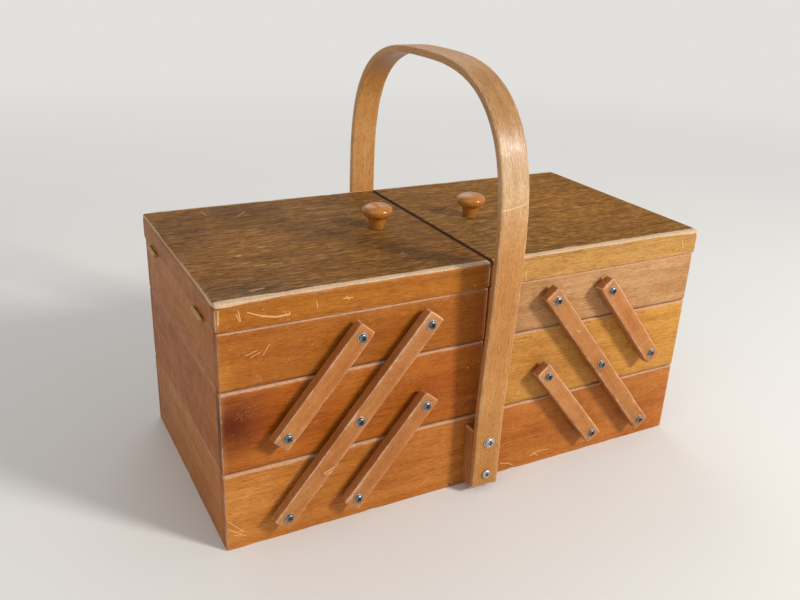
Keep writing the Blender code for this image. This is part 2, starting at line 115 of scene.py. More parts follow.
def roundedBoard(low, high, rng, steps=(2, 4, 4), radius=0.7, worn=(), wornRadius=1.3, nicks=0, nickEdges=None,
                 near=usualLines):
    # p is a point of the block's surface and q the nearest point of the block shrunk by the radii R; the
    # board's
    # surface is q + R * (p - q) / R, made as long as 1 times R, so every edge is an arc. R grows near
    # worn edges.
    # Nicks are round-bottomed dents on the edges, exp(-(distance / width)^2) deep. worn lists (face,
    # face, weight).
    low, high = np.array(low, float), np.array(high, float)
    half = (high - low) / 2
    lines = [gridLines(low[a], high[a], steps[a] * mm, near) for a in range(3)]
    points, quads = shellGrid(lines)
    grow = np.zeros(len(points))
    edge = np.full(len(points), farFromEdge)
    for one in worn:
        away = lineDistance(points, low, high, one)
        grow += one[2] * np.exp(-(away / (6 * mm)) ** 2)
        edge = np.minimum(edge, away / mm / one[2])
    reach = (radius + wornRadius * np.minimum(grow, 1.2)) * mm
    reach = np.minimum(reach[:, None], half * 0.95)
    inner = np.clip(points, low + reach, high - reach)
    arm = (points - inner) / reach
    normal = arm / np.linalg.norm(arm, axis=1)[:, None]
    shaped = inner + reach * normal
    normal = normal / reach
    normal /= np.linalg.norm(normal, axis=1)[:, None]
    along = int(np.argmax(half))
    ripple = 0.5 + 0.5 * wavyLine(points[:, along], rng, 0.16)
    shaped -= normal * (np.exp(-edge / 3) * 0.28 * mm * ripple)[:, None]
    chosen = rng.integers(0, max(1, len(worn) if nickEdges is None else nickEdges), nicks) if worn else ()
    for one in (worn[k] for k in chosen):
        centre = (low + high) / 2
        for face in one[:2]:
            axis = "xyz".index(face[1])
            centre[axis] = (high if face[0] == "+" else low)[axis]
        free = 3 - sum("xyz".index(face[1]) for face in one[:2])
        centre[free] = rng.uniform(low[free], high[free])
        width, depth = rng.uniform(1.0, 3.2) * mm, rng.uniform(0.25, 0.8) * mm
        spread = np.ones(3)
        spread[free] = 0.5
        dent = np.exp(-(np.linalg.norm((points - centre) * spread, axis=1) / width) ** 2)
        shaped -= normal * (depth * dent)[:, None]
        edge = edge * (1 - 0.6 * dent)
    shaped = np.clip(shaped, low, high)
    return shaped, quads, normal, edge


def turnedShape(profile, centre, axis, segments=48, closed=False):
    # each profile point (radius, height) is carried once round the axis; a point of no radius closes the
    # shape as a pole
    w = Vector(axis).normalized()
    u = w.orthogonal().normalized()
    u, v, w, centre = np.array(u), np.array(w.cross(u)), np.array(w), np.array(centre, float)
    angles = np.linspace(0, 2 * math.pi, segments, endpoint=False)
    ring = np.cos(angles)[:, None] * u + np.sin(angles)[:, None] * v
    points, faces, starts = [], [], []
    for r, h in profile:
        starts.append((sum(len(p) for p in points), r > 1e-9))
        points.append(centre + h * w + (r * ring if r > 1e-9 else np.zeros((1, 3))))
    j = np.arange(segments)
    k = (j + 1) % segments
    pairs = list(zip(starts[:-1], starts[1:])) + ([(starts[-1], starts[0])] if closed else [])
    for (a, wideA), (b, wideB) in pairs:
        if wideA and wideB:
            faces += np.stack([a + j, a + k, b + k, b + j], 1).tolist()
        elif wideA:
            faces += np.stack([a + j, a + k, np.full(segments, b)], 1).tolist()
        elif wideB:
            faces += np.stack([np.full(segments, a), b + k, b + j], 1).tolist()
    return np.concatenate(points), faces


def crossHead(radius, rim, dome, slot, depth, turn, grid=34):
    # a square grid (u, v) is drawn onto a disc by x = u*sqrt(1 - v^2/2), y = v*sqrt(1 - u^2/2); its height is
    # rim + dome*(1 - r^2) less a cross-shaped recess that is deepest in the middle. The underside is flat.
    side = np.linspace(-1, 1, grid + 1)
    points, quads = shellGrid([side, side, np.array([0, 0.5, 1.0])])
    u, v, level = points.T
    x, y = u * np.sqrt(1 - v * v / 2), v * np.sqrt(1 - u * u / 2)
    r = np.minimum(np.hypot(x, y), 1)
    c, s = math.cos(turn), math.sin(turn)
    a, b = np.abs(c * x + s * y), np.abs(c * y - s * x)
    wide, long = slot
    cross = np.maximum((1 - smoothStep(a, wide * 0.6, wide)) * (1 - smoothStep(b, long * 0.75, long)),
                       (1 - smoothStep(b, wide * 0.6, wide)) * (1 - smoothStep(a, long * 0.75, long)))
    top = rim + dome * np.sqrt(np.maximum(1 - r ** 2 * 0.995, 0)) - cross * depth * (1 - 0.5 * r)
    swell = 1 - 0.10 * (1 - np.minimum(level * 2, 1)) * (r > 0.98)
    shaped = np.stack([x * radius * swell, y * radius * swell, level * top], 1)
    return shaped, quads, cross * (level > 0.9)


def placed(points, centre, axis):
    # turns a shape made along +z so that it stands along axis, then carries it to centre
    turn = np.array(Vector((0, 0, 1)).rotation_difference(Vector(axis)).to_matrix())
    return points @ turn.T + np.array(centre)


def writeAttribute(mesh, name, values):
    values = np.ascontiguousarray(values, dtype=np.float32)
    kind = "FLOAT" if values.ndim == 1 else "FLOAT_VECTOR"
    layer = mesh.attributes.new(name, kind, "POINT")
    layer.data.foreach_set("value" if values.ndim == 1 else "vector", values.ravel())


def makePiece(name, parts, body, material, replaces=(), sharp=None, sideMaterial=None):
    # parts is a list of (points, faces, {attribute: values}), joined into one mesh; its upright faces may
    # have their own material
    points, faces, layers, start = [], [], {}, 0
    for shape, quads, values in parts:
        points.append(shape)
        faces += [[i + start for i in face] for face in quads]
        start += len(shape)
        for key, value in values.items():
            layers.setdefault(key, []).append(value)
    mesh = bpy.data.meshes.new(name)
    mesh.from_pydata(np.concatenate(points), [], faces)
    for key, value in layers.items():
        writeAttribute(mesh, key, np.concatenate(value))
    mesh.polygons.foreach_set("use_smooth", np.ones(len(mesh.polygons), bool))
    if sharp:
        mesh.set_sharp_from_angle(angle=math.radians(sharp))
    mesh.materials.append(material)
    mesh.update()
    if sideMaterial:
        mesh.materials.append(sideMaterial)
        facing = np.zeros(len(mesh.polygons) * 3)
        mesh.polygons.foreach_get("normal", facing)
        mesh.polygons.foreach_set("material_index", (facing.reshape(-1, 3)[:, 2] < 0.6).astype(np.int32))
    piece = bpy.data.objects.new(name, mesh)
    bpy.context.scene.collection.objects.link(piece)
    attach(piece, body)
    if replaces:
        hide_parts(*replaces)
    return piece


def grainOf(points, axis, rng):
    # the grain's own coordinates: along it first, then the two ways across, moved by chance for each board
    order = {"x": (0, 1, 2), "y": (1, 0, 2), "z": (2, 0, 1)}[axis]
    return points[:, order] + rng.uniform(0, 1, 3)


def patchedTint(points, colour, patches=()):
    # the colour, changed towards factor times itself by exp(-|(p - place) / size|^2), in millimetres
    tint = np.tile(np.array(colour, float), (len(points), 1))
    for place, size, factor in patches:
        near = np.exp(-(((points / mm - np.array(place)) / np.array(size)) ** 2).sum(1))
        tint *= 1 + near[:, None] * (np.array(factor) - 1)
    return tint


def plainState(points, inside=0.0):
    # the state of a piece with no worn edges and no end grain
    count = len(points)
    return np.stack([np.full(count, farFromEdge), np.full(count, inside), np.zeros(count)], 1)


def woodLayers(points, normal, edge, axis, outward, colour, rng, patches=()):
    # state is (millimetres from a worn edge, how much it is an inside face, how much it is end grain)
    inside = smoothStep(-(normal @ np.array(outward, float)), 0.5, 0.8)
    endGrain = smoothStep(np.abs(normal[:, "xyz".index(axis)]), 0.6, 0.9)
    tint = patchedTint(points, colour, patches)
    return {"grain": grainOf(points, axis, rng), "state": np.stack([edge, inside, endGrain], 1), "tint": tint}


class Desk:
    # a small bench for wiring nodes: every call adds one node and hands back its output
    def __init__(self, name):
        self.material = bpy.data.materials.new(name)
        self.material.use_nodes = True
        self.tree = self.material.node_tree
        self.shader = self.tree.nodes["Principled BSDF"]
        self.count = 0

    def node(self, kind, **settings):
        made = self.tree.nodes.new("ShaderNode" + kind)
        made.location = (-240 * (self.count % 12) - 300, -260 * (self.count // 12))
        self.count += 1
        for key, value in settings.items():
            setattr(made, key, value)
        return made

    def put(self, socket, value):
        if isinstance(value, bpy.types.NodeSocket):
            self.tree.links.new(value, socket)
        elif hasattr(value, "__len__") and len(value) == 3 and socket.type == "RGBA":
            socket.default_value = (*value, 1)
        else:
            socket.default_value = value

    def math(self, operation, a, b=0.0, clamp=False):
        made = self.node("Math", operation=operation, use_clamp=clamp)
        self.put(made.inputs[0], a)
        self.put(made.inputs[1], b)
        return made.outputs[0]

    def vector(self, operation, a, b=(0, 0, 0)):
        made = self.node("VectorMath", operation=operation)
        self.put(made.inputs[0], a)
        self.put(made.inputs[1], b)
        return made.outputs["Value" if operation in ("DOT_PRODUCT", "LENGTH", "DISTANCE") else "Vector"]

    def noise(self, place, scale, detail=2.0, rough=0.5, colour=False):
        # scale is three numbers, cells per metre along and across
        made = self.node("TexNoise", noise_dimensions="3D")
        self.put(made.inputs["Vector"], self.vector("MULTIPLY", place, scale))
        made.inputs["Scale"].default_value = 1
        made.inputs["Detail"].default_value = detail
        made.inputs["Roughness"].default_value = rough
        return made.outputs["Color" if colour else "Fac"]

    def ramp(self, value, low, high, fromValue=0.0, toValue=1.0):
        made = self.node("MapRange", interpolation_type="SMOOTHSTEP", clamp=True)
        for k, one in enumerate((value, low, high, fromValue, toValue)):
            self.put(made.inputs[k], one)
        return made.outputs[0]

    def relief(self, height, strength, distance):
        bump = self.node("Bump")
        bump.inputs["Strength"].default_value = strength
        bump.inputs["Distance"].default_value = distance
        self.put(bump.inputs["Height"], height)
        self.put(self.shader.inputs["Normal"], bump.outputs[0])

    def dashes(self, grain, size, detail, low, blur):
        # marks along the grain, about that long and that high in millimetres
        along, across = 1 / (size[0] * mm), 1 / (size[1] * mm)
        return self.ramp(self.noise(grain, (along, across, across), detail, 0.5), low, low + blur)

    def mix(self, factor, a, b, blend="MIX"):
        made = self.node("Mix", data_type="RGBA", blend_type=blend, clamp_factor=True)
        self.put(made.inputs["Factor"], factor)
        self.put(made.inputs[6], a)
        self.put(made.inputs[7], b)
        return made.outputs[2]

    def attribute(self, name, part="Vector"):
        return self.node("Attribute", attribute_name=name).outputs[part]

    def objectPlace(self):
        return self.node("TexCoord").outputs["Object"]

    def stroke(self, place, start, end, width):
        # 1 on the straight line from start to end, falling to 0 at width from it, all in millimetres
        start, end = np.array(start, float) * mm, np.array(end, float) * mm
        run = end - start
        away = self.vector("SUBTRACT", place, tuple(start))
        t = self.vector("DOT_PRODUCT", away, tuple(run))
        t = self.math("MULTIPLY", t, 1 / float(run @ run), clamp=True)
        foot = self.node("VectorMath", operation="SCALE")
        foot.inputs[0].default_value = tuple(run)
        self.put(foot.inputs["Scale"], t)
        gap = self.vector("DISTANCE", away, foot.outputs[0])
        return self.ramp(gap, width * mm, width * 0.35 * mm)


def woodMaterial(name, look):
    # the board's own colour times bands, fibres, dark pores and pale flecks; worn edges, scratches and
    # dents are paler
    desk = Desk(name)
    place = desk.objectPlace()
    layered = look.get("layers", True)
    grain = desk.attribute("grain") if layered else place
    bend = desk.vector("SUBTRACT", desk.noise(grain, (7, 38, 38), 1, colour=True), (0.5, 0.5, 0.5))
    waver = look["waver"] * mm
    grain = desk.vector("ADD", grain, desk.vector("MULTIPLY", bend, (0, waver, waver)))
    colour = desk.attribute("tint") if layered else look["colour"]
    state = desk.node("SeparateXYZ")
    desk.put(state.inputs[0], desk.attribute("state"))
    edge, inside, endGrain = state.outputs

    bands = desk.noise(grain, (4, 130, 130), 3, 0.55)
    fibres = desk.noise(grain, (45, 1300, 1300), 2, 0.6)
    blur = look["blur"]
    pores = desk.dashes(grain, look["pore"], 1, 0.50, 0.16 * blur)
    streaks = desk.dashes(desk.vector("ADD", grain, (1.3, 4.1, 0.7)), look["streak"], 2, 0.52, 0.18 * blur)
    flecks = desk.dashes(desk.vector("ADD", grain, (3.7, 1.9, 2.3)), look["fleck"], 1, 0.54, 0.16 * blur)
    blotch = desk.ramp(desk.noise(place, (15, 15, 24), 3, 0.5), 0.35, 0.72)
    grime = desk.ramp(desk.noise(place, (55, 55, 70), 3, 0.6), 0.4, 0.75)
    flecks = desk.math("MULTIPLY", flecks, look["fleckStrength"])
    for amount, factor in ((desk.ramp(bands, 0.3, 0.7), "bandFactor"),
                           (desk.ramp(fibres, 0.35, 0.7), "fibreFactor"),
                           (streaks, "streakFactor"), (pores, "poreFactor"), (blotch, "blotchFactor"),
                           (grime, "grimeFactor"), (flecks, "fleckFactor")):
        colour = desk.mix(amount, colour, look[factor], "MULTIPLY")
    if layered:
        colour = desk.mix(desk.math("MULTIPLY", endGrain, 0.75), colour, look["endFactor"], "MULTIPLY")
        bare = desk.mix(desk.ramp(bands, 0.35, 0.65), look["bare"], look["bareDark"])
        bare = desk.mix(desk.math("MULTIPLY", pores, 0.5), bare, look["poreFactor"], "MULTIPLY")
        colour = desk.mix(inside, colour, bare)

    # worn places
    rough = desk.noise(place, (260, 260, 260), 3, 0.6)
    patchy = desk.noise(place, (38, 38, 60), 2, 0.5)
    fine = desk.noise(grain, (160, 900, 900), 2, 0.5)
    width = desk.math("MULTIPLY", desk.ramp(patchy, 0.3, 0.7, 0.35, 1.5), look["wornWidth"])
    width = desk.math("MULTIPLY", width, desk.ramp(rough, 0.25, 0.75, 0.45, 1.45))
    rubbed = desk.ramp(desk.math("SUBTRACT", edge, width), 0.45, -0.35) if layered else 0.0
    rubbed = desk.math("MULTIPLY", rubbed, desk.ramp(fine, 0.2, 0.45, 0.55, 1.0))
    beyond = desk.math("SUBTRACT", edge, desk.math("MULTIPLY", width, 3.0))
    halo = desk.ramp(beyond, 3.0, -2.0, 0.0, look["haloStrength"]) if layered else 0.0
    speckle = desk.ramp(desk.noise(place, (620, 620, 620), 2, 0.6), 0.38, 0.62)
    bareWood = desk.mix(speckle, look["wornColour"], tuple(0.8 * c for c in look["wornColour"]))
    colour = desk.mix(halo, colour, bareWood)
    colour = desk.mix(desk.math("MULTIPLY", rubbed, look["wornStrength"]), colour, bareWood)

    marks = []
    for turn, (across, reach), level in look["scratches"]:
        spin = desk.node("VectorRotate", rotation_type="EULER_XYZ")
        desk.put(spin.inputs["Vector"], place)
        spin.inputs["Rotation"].default_value = turn
        lines = desk.noise(spin.outputs[0], (reach, across, across), 0)
        lines = desk.ramp(desk.math("ABSOLUTE", desk.math("SUBTRACT", lines, 0.5)), 0.0075, 0.002)
        where = desk.noise(desk.vector("ADD", place, tuple(turn)), (46, 46, 46), 1)
        where = desk.ramp(where, level, level + 0.05)
        marks.append(desk.math("MULTIPLY", lines, where))
    cells = desk.node("TexVoronoi", feature="F1")
    desk.put(cells.inputs["Vector"], desk.vector("MULTIPLY", place, (70, 70, 70)))
    cells.inputs["Scale"].default_value = 1
    chosen = desk.node("SeparateXYZ")
    desk.put(chosen.inputs[0], cells.outputs["Color"])
    size = desk.ramp(chosen.outputs[1], 0, 1, 0.025, 0.075)
    dots = desk.ramp(desk.math("SUBTRACT", cells.outputs["Distance"], size), 0.02, -0.01)
    kept = desk.ramp(chosen.outputs[0], look["dotLevel"], look["dotLevel"] + 0.01)
    marks.append(desk.math("MULTIPLY", dots, kept))
    for start, end, width in look.get("strokes", ()):
        marks.append(desk.stroke(place, start, end, width))
    hurt = marks[0]
    for one in marks[1:]:
        hurt = desk.math("MAXIMUM", hurt, one)
    if layered:
        hurt = desk.math("MULTIPLY", hurt, desk.math("SUBTRACT", 1.0, inside))
    colour = desk.mix(desk.math("MULTIPLY", hurt, look["markStrength"]), colour, look["markColour"])
    desk.put(desk.shader.inputs["Base Color"], colour)

    # gloss and relief
    worn = desk.math("MAXIMUM", rubbed, hurt)
    mottle = desk.noise(place, (90, 90, 90), 3, 0.6)
    gloss = desk.ramp(mottle, 0.3, 0.7, look["rough"] - 0.05, look["rough"] + 0.07)
    gloss = desk.math("ADD", gloss, desk.math("MULTIPLY", worn, 0.22))
    if layered:
        gloss = desk.math("ADD", gloss, desk.math("MULTIPLY", inside, 0.2))
    desk.put(desk.shader.inputs["Roughness"], desk.math("MULTIPLY", gloss, 1.0, clamp=True))
    desk.shader.inputs["Coat Weight"].default_value = look["coat"]
    desk.shader.inputs["Coat Roughness"].default_value = look["coatRough"]
    desk.shader.inputs["Specular IOR Level"].default_value = look["specular"]
    height = desk.math("ADD", desk.math("MULTIPLY", fibres, 0.5), desk.math("MULTIPLY", pores, -0.5))
    height = desk.math("ADD", height, desk.math("MULTIPLY", worn, -0.6))
    height = desk.math("ADD", height, desk.math("MULTIPLY", bands, 0.5))
    desk.relief(height, look["bump"], 0.25 * mm)
    return desk.material


def marksOn(axis, level, marks):
    # scratches on a face across that axis, each two points of the face and a half width, in millimetres
    k = "xyz".index(axis)
    return [((*m[:k], level, *m[k:2]), (*m[2:2 + k], level, *m[2 + k:4]), m[4]) for m in marks]


wallLook = {
    "waver": 2.0, "blur": 0.8, "pore": (4.5, 0.80), "streak": (15, 1.3), "fleck": (7.0, 1.0),
    "fleckStrength": 0.55, "fleckFactor": (1.22, 1.30, 1.42), "bandFactor": (0.84, 0.77, 0.66),
    "fibreFactor": (0.90, 0.86, 0.80), "poreFactor": (0.84, 0.77, 0.68), "streakFactor": (0.87, 0.80, 0.70),
    "blotchFactor": (0.88, 0.81, 0.72), "grimeFactor": (0.95, 0.91, 0.86), "endFactor": (0.70, 0.60, 0.48),
    "bare": (0.60, 0.38, 0.19), "bareDark": (0.52, 0.31, 0.145), "wornWidth": 0.85,
    "wornColour": (0.62, 0.345, 0.205), "wornStrength": 0.85, "haloStrength": 0.14,
    "scratches": [((0, 0.5, 0), (900, 26), 0.63), ((0, -0.9, 0), (900, 30), 0.66),
                  ((0.2, 1.6, 0), (800, 34), 0.67)],
    "dotLevel": 0.90, "markColour": (0.80, 0.48, 0.22), "markStrength": 0.7, "rough": 0.44, "coat": 0.0,
    "coatRough": 0.3, "specular": 0.16, "bump": 0.30,
    "strokes": [],
}
lidLook = {
    "waver": 1.8, "blur": 0.55, "pore": (8.0, 1.2), "streak": (28, 1.9), "fleck": (12, 1.4),
    "fleckStrength": 0.9, "fleckFactor": (1.80, 2.0, 2.4), "bandFactor": (0.78, 0.74, 0.66),
    "fibreFactor": (0.86, 0.83, 0.79), "poreFactor": (0.68, 0.62, 0.54), "streakFactor": (0.66, 0.60, 0.53),
    "blotchFactor": (0.86, 0.85, 0.86), "grimeFactor": (0.92, 0.91, 0.90), "endFactor": (0.8, 0.7, 0.6),
    "bare": (0.58, 0.38, 0.20), "bareDark": (0.48, 0.29, 0.145), "wornWidth": 1.0,
    "wornColour": (0.70, 0.50, 0.32), "wornStrength": 0.92, "haloStrength": 0.12,
    "scratches": [((0, 0, 0.5), (800, 24), 0.62), ((0, 0, -0.7), (900, 30), 0.64),
                  ((0, 0, 1.7), (800, 34), 0.66)],
    "dotLevel": 0.92, "markColour": (0.68, 0.47, 0.27), "markStrength": 0.65, "rough": 0.52, "coat": 0.0,
    "coatRough": 0.35, "specular": 0.05, "bump": 0.45,
    "strokes": marksOn("z", 204, [(-147.6, 70, -138, 80.6, 0.6), (-172.8, 95.7, -171.8, 81, 0.45),
                                  (-173, -49.4, -164.6, -49.4, 0.9), (-160, -50, -151.8, -51, 0.7),
                                  (-191, -94, -180.5, -92.5, 0.9), (-178.4, -24.6, -175.6, -24.4, 1.5),
                                  (-57.2, -64.8, -56, -64.6, 1.0), (-53.4, 45.7, -51, 45.6, 0.9)]),
}
armLook = {
    "waver": 1.2, "blur": 1.0, "pore": (2.2, 0.45), "streak": (9, 0.8), "fleck": (2.8, 0.60),
    "fleckStrength": 0.5, "fleckFactor": (1.18, 1.24, 1.35), "bandFactor": (0.88, 0.83, 0.76),
    "fibreFactor": (0.92, 0.89, 0.86), "poreFactor": (0.85, 0.79, 0.72), "streakFactor": (0.88, 0.81, 0.74),
    "blotchFactor": (0.88, 0.80, 0.68), "grimeFactor": (0.90, 0.84, 0.76), "endFactor": (0.72, 0.66, 0.6),
    "bare": (0.50, 0.24, 0.10), "bareDark": (0.44, 0.20, 0.085), "wornWidth": 0.85,
    "wornColour": (0.76, 0.45, 0.26), "wornStrength": 0.85, "haloStrength": 0.14,
    "scratches": [((0, 0.4, 0), (900, 30), 0.60), ((0, -0.7, 0), (900, 34), 0.62)],
    "dotLevel": 0.86, "markColour": (0.80, 0.53, 0.33), "markStrength": 0.65, "rough": 0.48, "coat": 0.0,
    "coatRough": 0.4, "specular": 0.18, "bump": 0.3,
    "strokes": marksOn("y", -120.7, [(-146.4, 57.8, -138, 61, 0.6), (-145, 56, -135, 59.6, 0.5),
                                     (83.5, 135.6, 86, 133.2, 0.45), (86, 133.2, 88, 134.4, 0.45)]),
}
handleLook = {
    "waver": 1.0, "blur": 0.9, "pore": (3.6, 0.50), "streak": (10, 0.8), "fleck": (4.0, 0.60),
    "fleckStrength": 0.6, "fleckFactor": (1.20, 1.30, 1.5), "bandFactor": (0.88, 0.83, 0.76),
    "fibreFactor": (0.90, 0.87, 0.82), "poreFactor": (0.78, 0.69, 0.58), "streakFactor": (0.84, 0.77, 0.68),
    "blotchFactor": (0.92, 0.88, 0.83), "grimeFactor": (0.95, 0.91, 0.87), "endFactor": (0.7, 0.62, 0.55),
    "bare": (0.56, 0.29, 0.12), "bareDark": (0.48, 0.24, 0.095), "wornWidth": 0.7,
    "wornColour": (0.76, 0.49, 0.28), "wornStrength": 0.7, "haloStrength": 0.14,
    "scratches": [((0, 0.9, 0), (900, 30), 0.66), ((0, -0.5, 0), (900, 34), 0.68)],
    "dotLevel": 0.94, "markColour": (0.82, 0.56, 0.34), "markStrength": 0.65, "rough": 0.38, "coat": 0.08,
    "coatRough": 0.25, "specular": 0.28, "bump": 0.35,
    "strokes": [((-11, -131.05, 252.5), (0, -130.92, 254), 0.65),
                ((0, -130.92, 254), (9, -130.77, 255.5), 0.5)],
}
knobLook = {
    "waver": 0.8, "blur": 1.0, "pore": (4, 0.5), "streak": (9, 0.8), "fleck": (5, 0.6), "fleckStrength": 0.3,
    "fleckFactor": (1.15, 1.25, 1.5), "bandFactor": (0.84, 0.75, 0.64), "fibreFactor": (0.90, 0.86, 0.80),
    "poreFactor": (0.84, 0.76, 0.66), "streakFactor": (0.80, 0.70, 0.60), "blotchFactor": (0.88, 0.80, 0.72),
    "grimeFactor": (0.92, 0.85, 0.78), "endFactor": (1, 1, 1), "bare": (0.5, 0.22, 0.06),
    "bareDark": (0.45, 0.2, 0.055), "wornWidth": 0.4, "wornColour": (0.66, 0.38, 0.18), "wornStrength": 0.6,
    "haloStrength": 0.0,
    "scratches": [((0, 0.4, 0), (700, 40), 0.7)],
    "dotLevel": 0.97, "markColour": (0.7, 0.42, 0.2), "markStrength": 0.5, "rough": 0.28, "coat": 0.35,
    "coatRough": 0.12, "specular": 0.4, "bump": 0.15,
    "strokes": [],
}
# scratches that the fronts show
frontMarks = {
    # the lid's long curved tick, and the nicks by its left end
    "left_lid": marksOn("y", -108.5, [(-198, 195, -188, 190.6, 0.6), (-188, 190.6, -178, 188.2, 0.9),
                                      (-178, 188.2, -168, 188.4, 0.95), (-168, 188.4, -167.8, 190.2, 0.6),
                                      (-204.4, 197, -203, 189.5, 0.5), (-206, 195, -203.6, 189, 0.4),
                                      (-218, 199, -218.6, 189, 0.6), (-127, 193.9, -119.5, 193.4, 0.6),
                                      (-124.5, 195.2, -122.5, 192.4, 0.5),
                                      (-147.8, 195.2, -146.6, 189.2, 0.4)]),
    "right_lid": marksOn("y", -108.5, [(33, 190.8, 34, 183, 0.5), (202.6, 196.4, 205, 189, 0.5)]),
    "left_top_tray": marksOn("y", -107.5, [(-182.3, 167.8, -187.5, 160.2, 0.35),
                                           (-199.8, 162, -192, 164.6, 0.4),
                                           (-196.5, 160, -189.5, 162.8, 0.35)]),
    "bottom_box": marksOn("y", -107.5, [(-217.8, 27, -206.5, 14.5, 0.4), (-218, 20, -205, 10, 0.45),
                                        (-214, 13, -207, 11.8, 0.4), (60.3, 8.9, 70.5, 11.6, 0.6),
                                        (70.5, 11.6, 80.5, 10.5, 0.4), (63.6, 11, 69, 6.6, 0.5),
                                        (27.8, 9.6, 36.6, 7.4, 0.5), (36.6, 7.4, 44.5, 2.0, 0.5)]),
}
plyLook = dict(wallLook, layers=False, colour=(0.58, 0.38, 0.20), markStrength=0.0)

wallWood = woodMaterial("stained wall wood", wallLook)
markedWood = {}
for part, strokes in frontMarks.items():
    bareColour = (lidLook if part.endswith("lid") else wallLook)["wornColour"]
    markedWood[part] = woodMaterial("stained wall wood, " + part.replace("_", " "),
                                    dict(wallLook, strokes=strokes, wornColour=bareColour))
lidWood = woodMaterial("worn lid veneer", lidLook)
armWood = woodMaterial("linkage arm wood", armLook)
handleWood = woodMaterial("bent beech", handleLook)
knobWood = woodMaterial("turned knob wood", knobLook)
plyWood = woodMaterial("tray base plywood", plyLook)


def metalMaterial(name, look):
    # bare metal, dulled and darkened in patches and in its recesses, with fine turning lines in the roughness
    desk = Desk(name)
    place = desk.objectPlace()
    recess = desk.attribute("recess", "Fac")
    dull = desk.ramp(desk.noise(place, (420, 420, 420), 3, 0.6), 0.35, 0.72)
    colour = desk.mix(dull, look["colour"], look["dull"])
    colour = desk.mix(desk.math("MULTIPLY", recess, 0.85), colour, look["darkening"])
    desk.put(desk.shader.inputs["Base Color"], colour)
    desk.shader.inputs["Metallic"].default_value = 1
    grit = desk.noise(place, (1900, 1900, 1900), 2, 0.6)
    rough = desk.ramp(grit, 0.3, 0.7, look["rough"] - 0.06, look["rough"] + 0.08)
    desk.put(desk.shader.inputs["Roughness"], desk.math("ADD", rough, desk.math("MULTIPLY", dull, 0.12)))
    desk.relief(grit, 0.2, 0.05 * mm)
    return desk.material


pivotSteel = metalMaterial("darkened pivot steel", {"colour": (0.27, 0.26, 0.25), "dull": (0.12, 0.11, 0.10),
                                                    "darkening": (0.02, 0.018, 0.016), "rough": 0.3})
washerSteel = metalMaterial("washer steel", {"colour": (0.50, 0.47, 0.43), "dull": (0.30, 0.26, 0.22),
                                             "darkening": (0.05, 0.04, 0.03), "rough": 0.36})
handleSteel = metalMaterial("zinc screw steel", {"colour": (0.62, 0.60, 0.56), "dull": (0.40, 0.37, 0.33),
                                                 "darkening": (0.05, 0.04, 0.03), "rough": 0.32})
hingeBrass = metalMaterial("dull hinge brass", {"colour": (0.62, 0.42, 0.16), "dull": (0.34, 0.22, 0.10),
                                                "darkening": (0.06, 0.04, 0.02), "rough": 0.34})
print("materials made")


rng = np.random.default_rng(41)
walls = {
    "radius": 0.45,
    "long": {"steps": (2.0, 4.0, 4.0), "wornRadius": 0.9, "nicks": 9},
    "end": {"steps": (4.0, 3.0, 4.0), "wornRadius": 0.7, "nicks": 3},
    "weights": {"top": 1.0, "bottom": 0.2, "corner": 0.75, "innerTop": 0.5},
    "colours": {
        "bottom_box": (0.50, 0.190, 0.036),
        "left_middle_tray": (0.475, 0.155, 0.022), "left_top_tray": (0.47, 0.165, 0.024),
        "right_middle_tray": (0.62, 0.325, 0.070), "right_top_tray": (0.56, 0.325, 0.155),
    },
    # the rubbed upper edge of a front, at its left and right ends, and the dark line along its lower edge
    "bands": {"bottom_box": (2.7, 0.9), "left_middle_tray": (2.3, 1.6), "left_top_tray": (1.1, 0.9),
              "right_middle_tray": (0.9, 1.1)},
    "usualBand": (0.8, 0.8), "bandRipple": 0.18, "rippleLength": 0.07, "rippleSeed": 7,
    "darkening": {"reach": 1.1, "factor": (0.84, 0.88, 0.92)},
    # darker and paler places, as (place, size, factor) in millimetres
    "patches": {
        "bottom_box": [((-205, -107, 34), (40, 30, 34), (1.14, 1.26, 1.5)),
                       ((60, -107, 34), (60, 30, 30), (0.94, 0.84, 0.72)),
                       ((205, -107, 20), (40, 30, 30), (0.95, 0.86, 0.74))],
        "left_middle_tray": [((-212, -107, 108), (24, 40, 26), (0.30, 0.16, 0.12)),
                             ((-180, -107, 112), (30, 40, 24), (0.85, 0.70, 0.55)),
                             ((-150, -107, 96), (40, 40, 14), (0.90, 0.80, 0.66)),
                             ((-40, -107, 104), (30, 40, 34), (0.84, 0.74, 0.62))],
        "left_top_tray": [((-219, -107, 150), (8, 40, 14), (1.25, 1.5, 2.0)),
                          ((-60, -107, 158), (60, 40, 30), (0.92, 0.86, 0.76))],
        "right_middle_tray": [((170, -107, 90), (40, 40, 30), (1.0, 0.93, 0.8)),
                              ((50, -107, 100), (60, 40, 40), (0.84, 0.77, 0.80))],
        "right_top_tray": [((30, -107, 150), (30, 40, 30), (0.88, 0.82, 0.76))],
    },
}


def outwardOf(name):
    # which way a wall's show face looks
    side = -1 if name.startswith("left") else 1
    if name.endswith("front"):
        return (0, -1, 0)
    if name.endswith("back"):
        return (0, 1, 0)
    if name.endswith("inner_end"):
        return (-side, 0, 0)
    if name.endswith("outer_end"):
        return (side, 0, 0)
    return (-1, 0, 0) if name.endswith("left_end") else (1, 0, 0)


def faceName(direction):
    axis = int(np.argmax(np.abs(direction)))
    return ("+" if direction[axis] > 0 else "-") + "xyz"[axis]


def wallEdges(outward, weights, corners=True):
    show = faceName(outward)
    across = "y" if show[1] == "x" else "x"
    hidden = ("-" if show[0] == "+" else "+") + show[1]
    edges = [(show, "+z", weights["top"]), (show, "-z", weights["bottom"]), (hidden, "+z", weights["innerTop"])]
    if corners:
        edges += [(show, "-" + across, weights["corner"]), (show, "+" + across, weights["corner"])]
    return edges


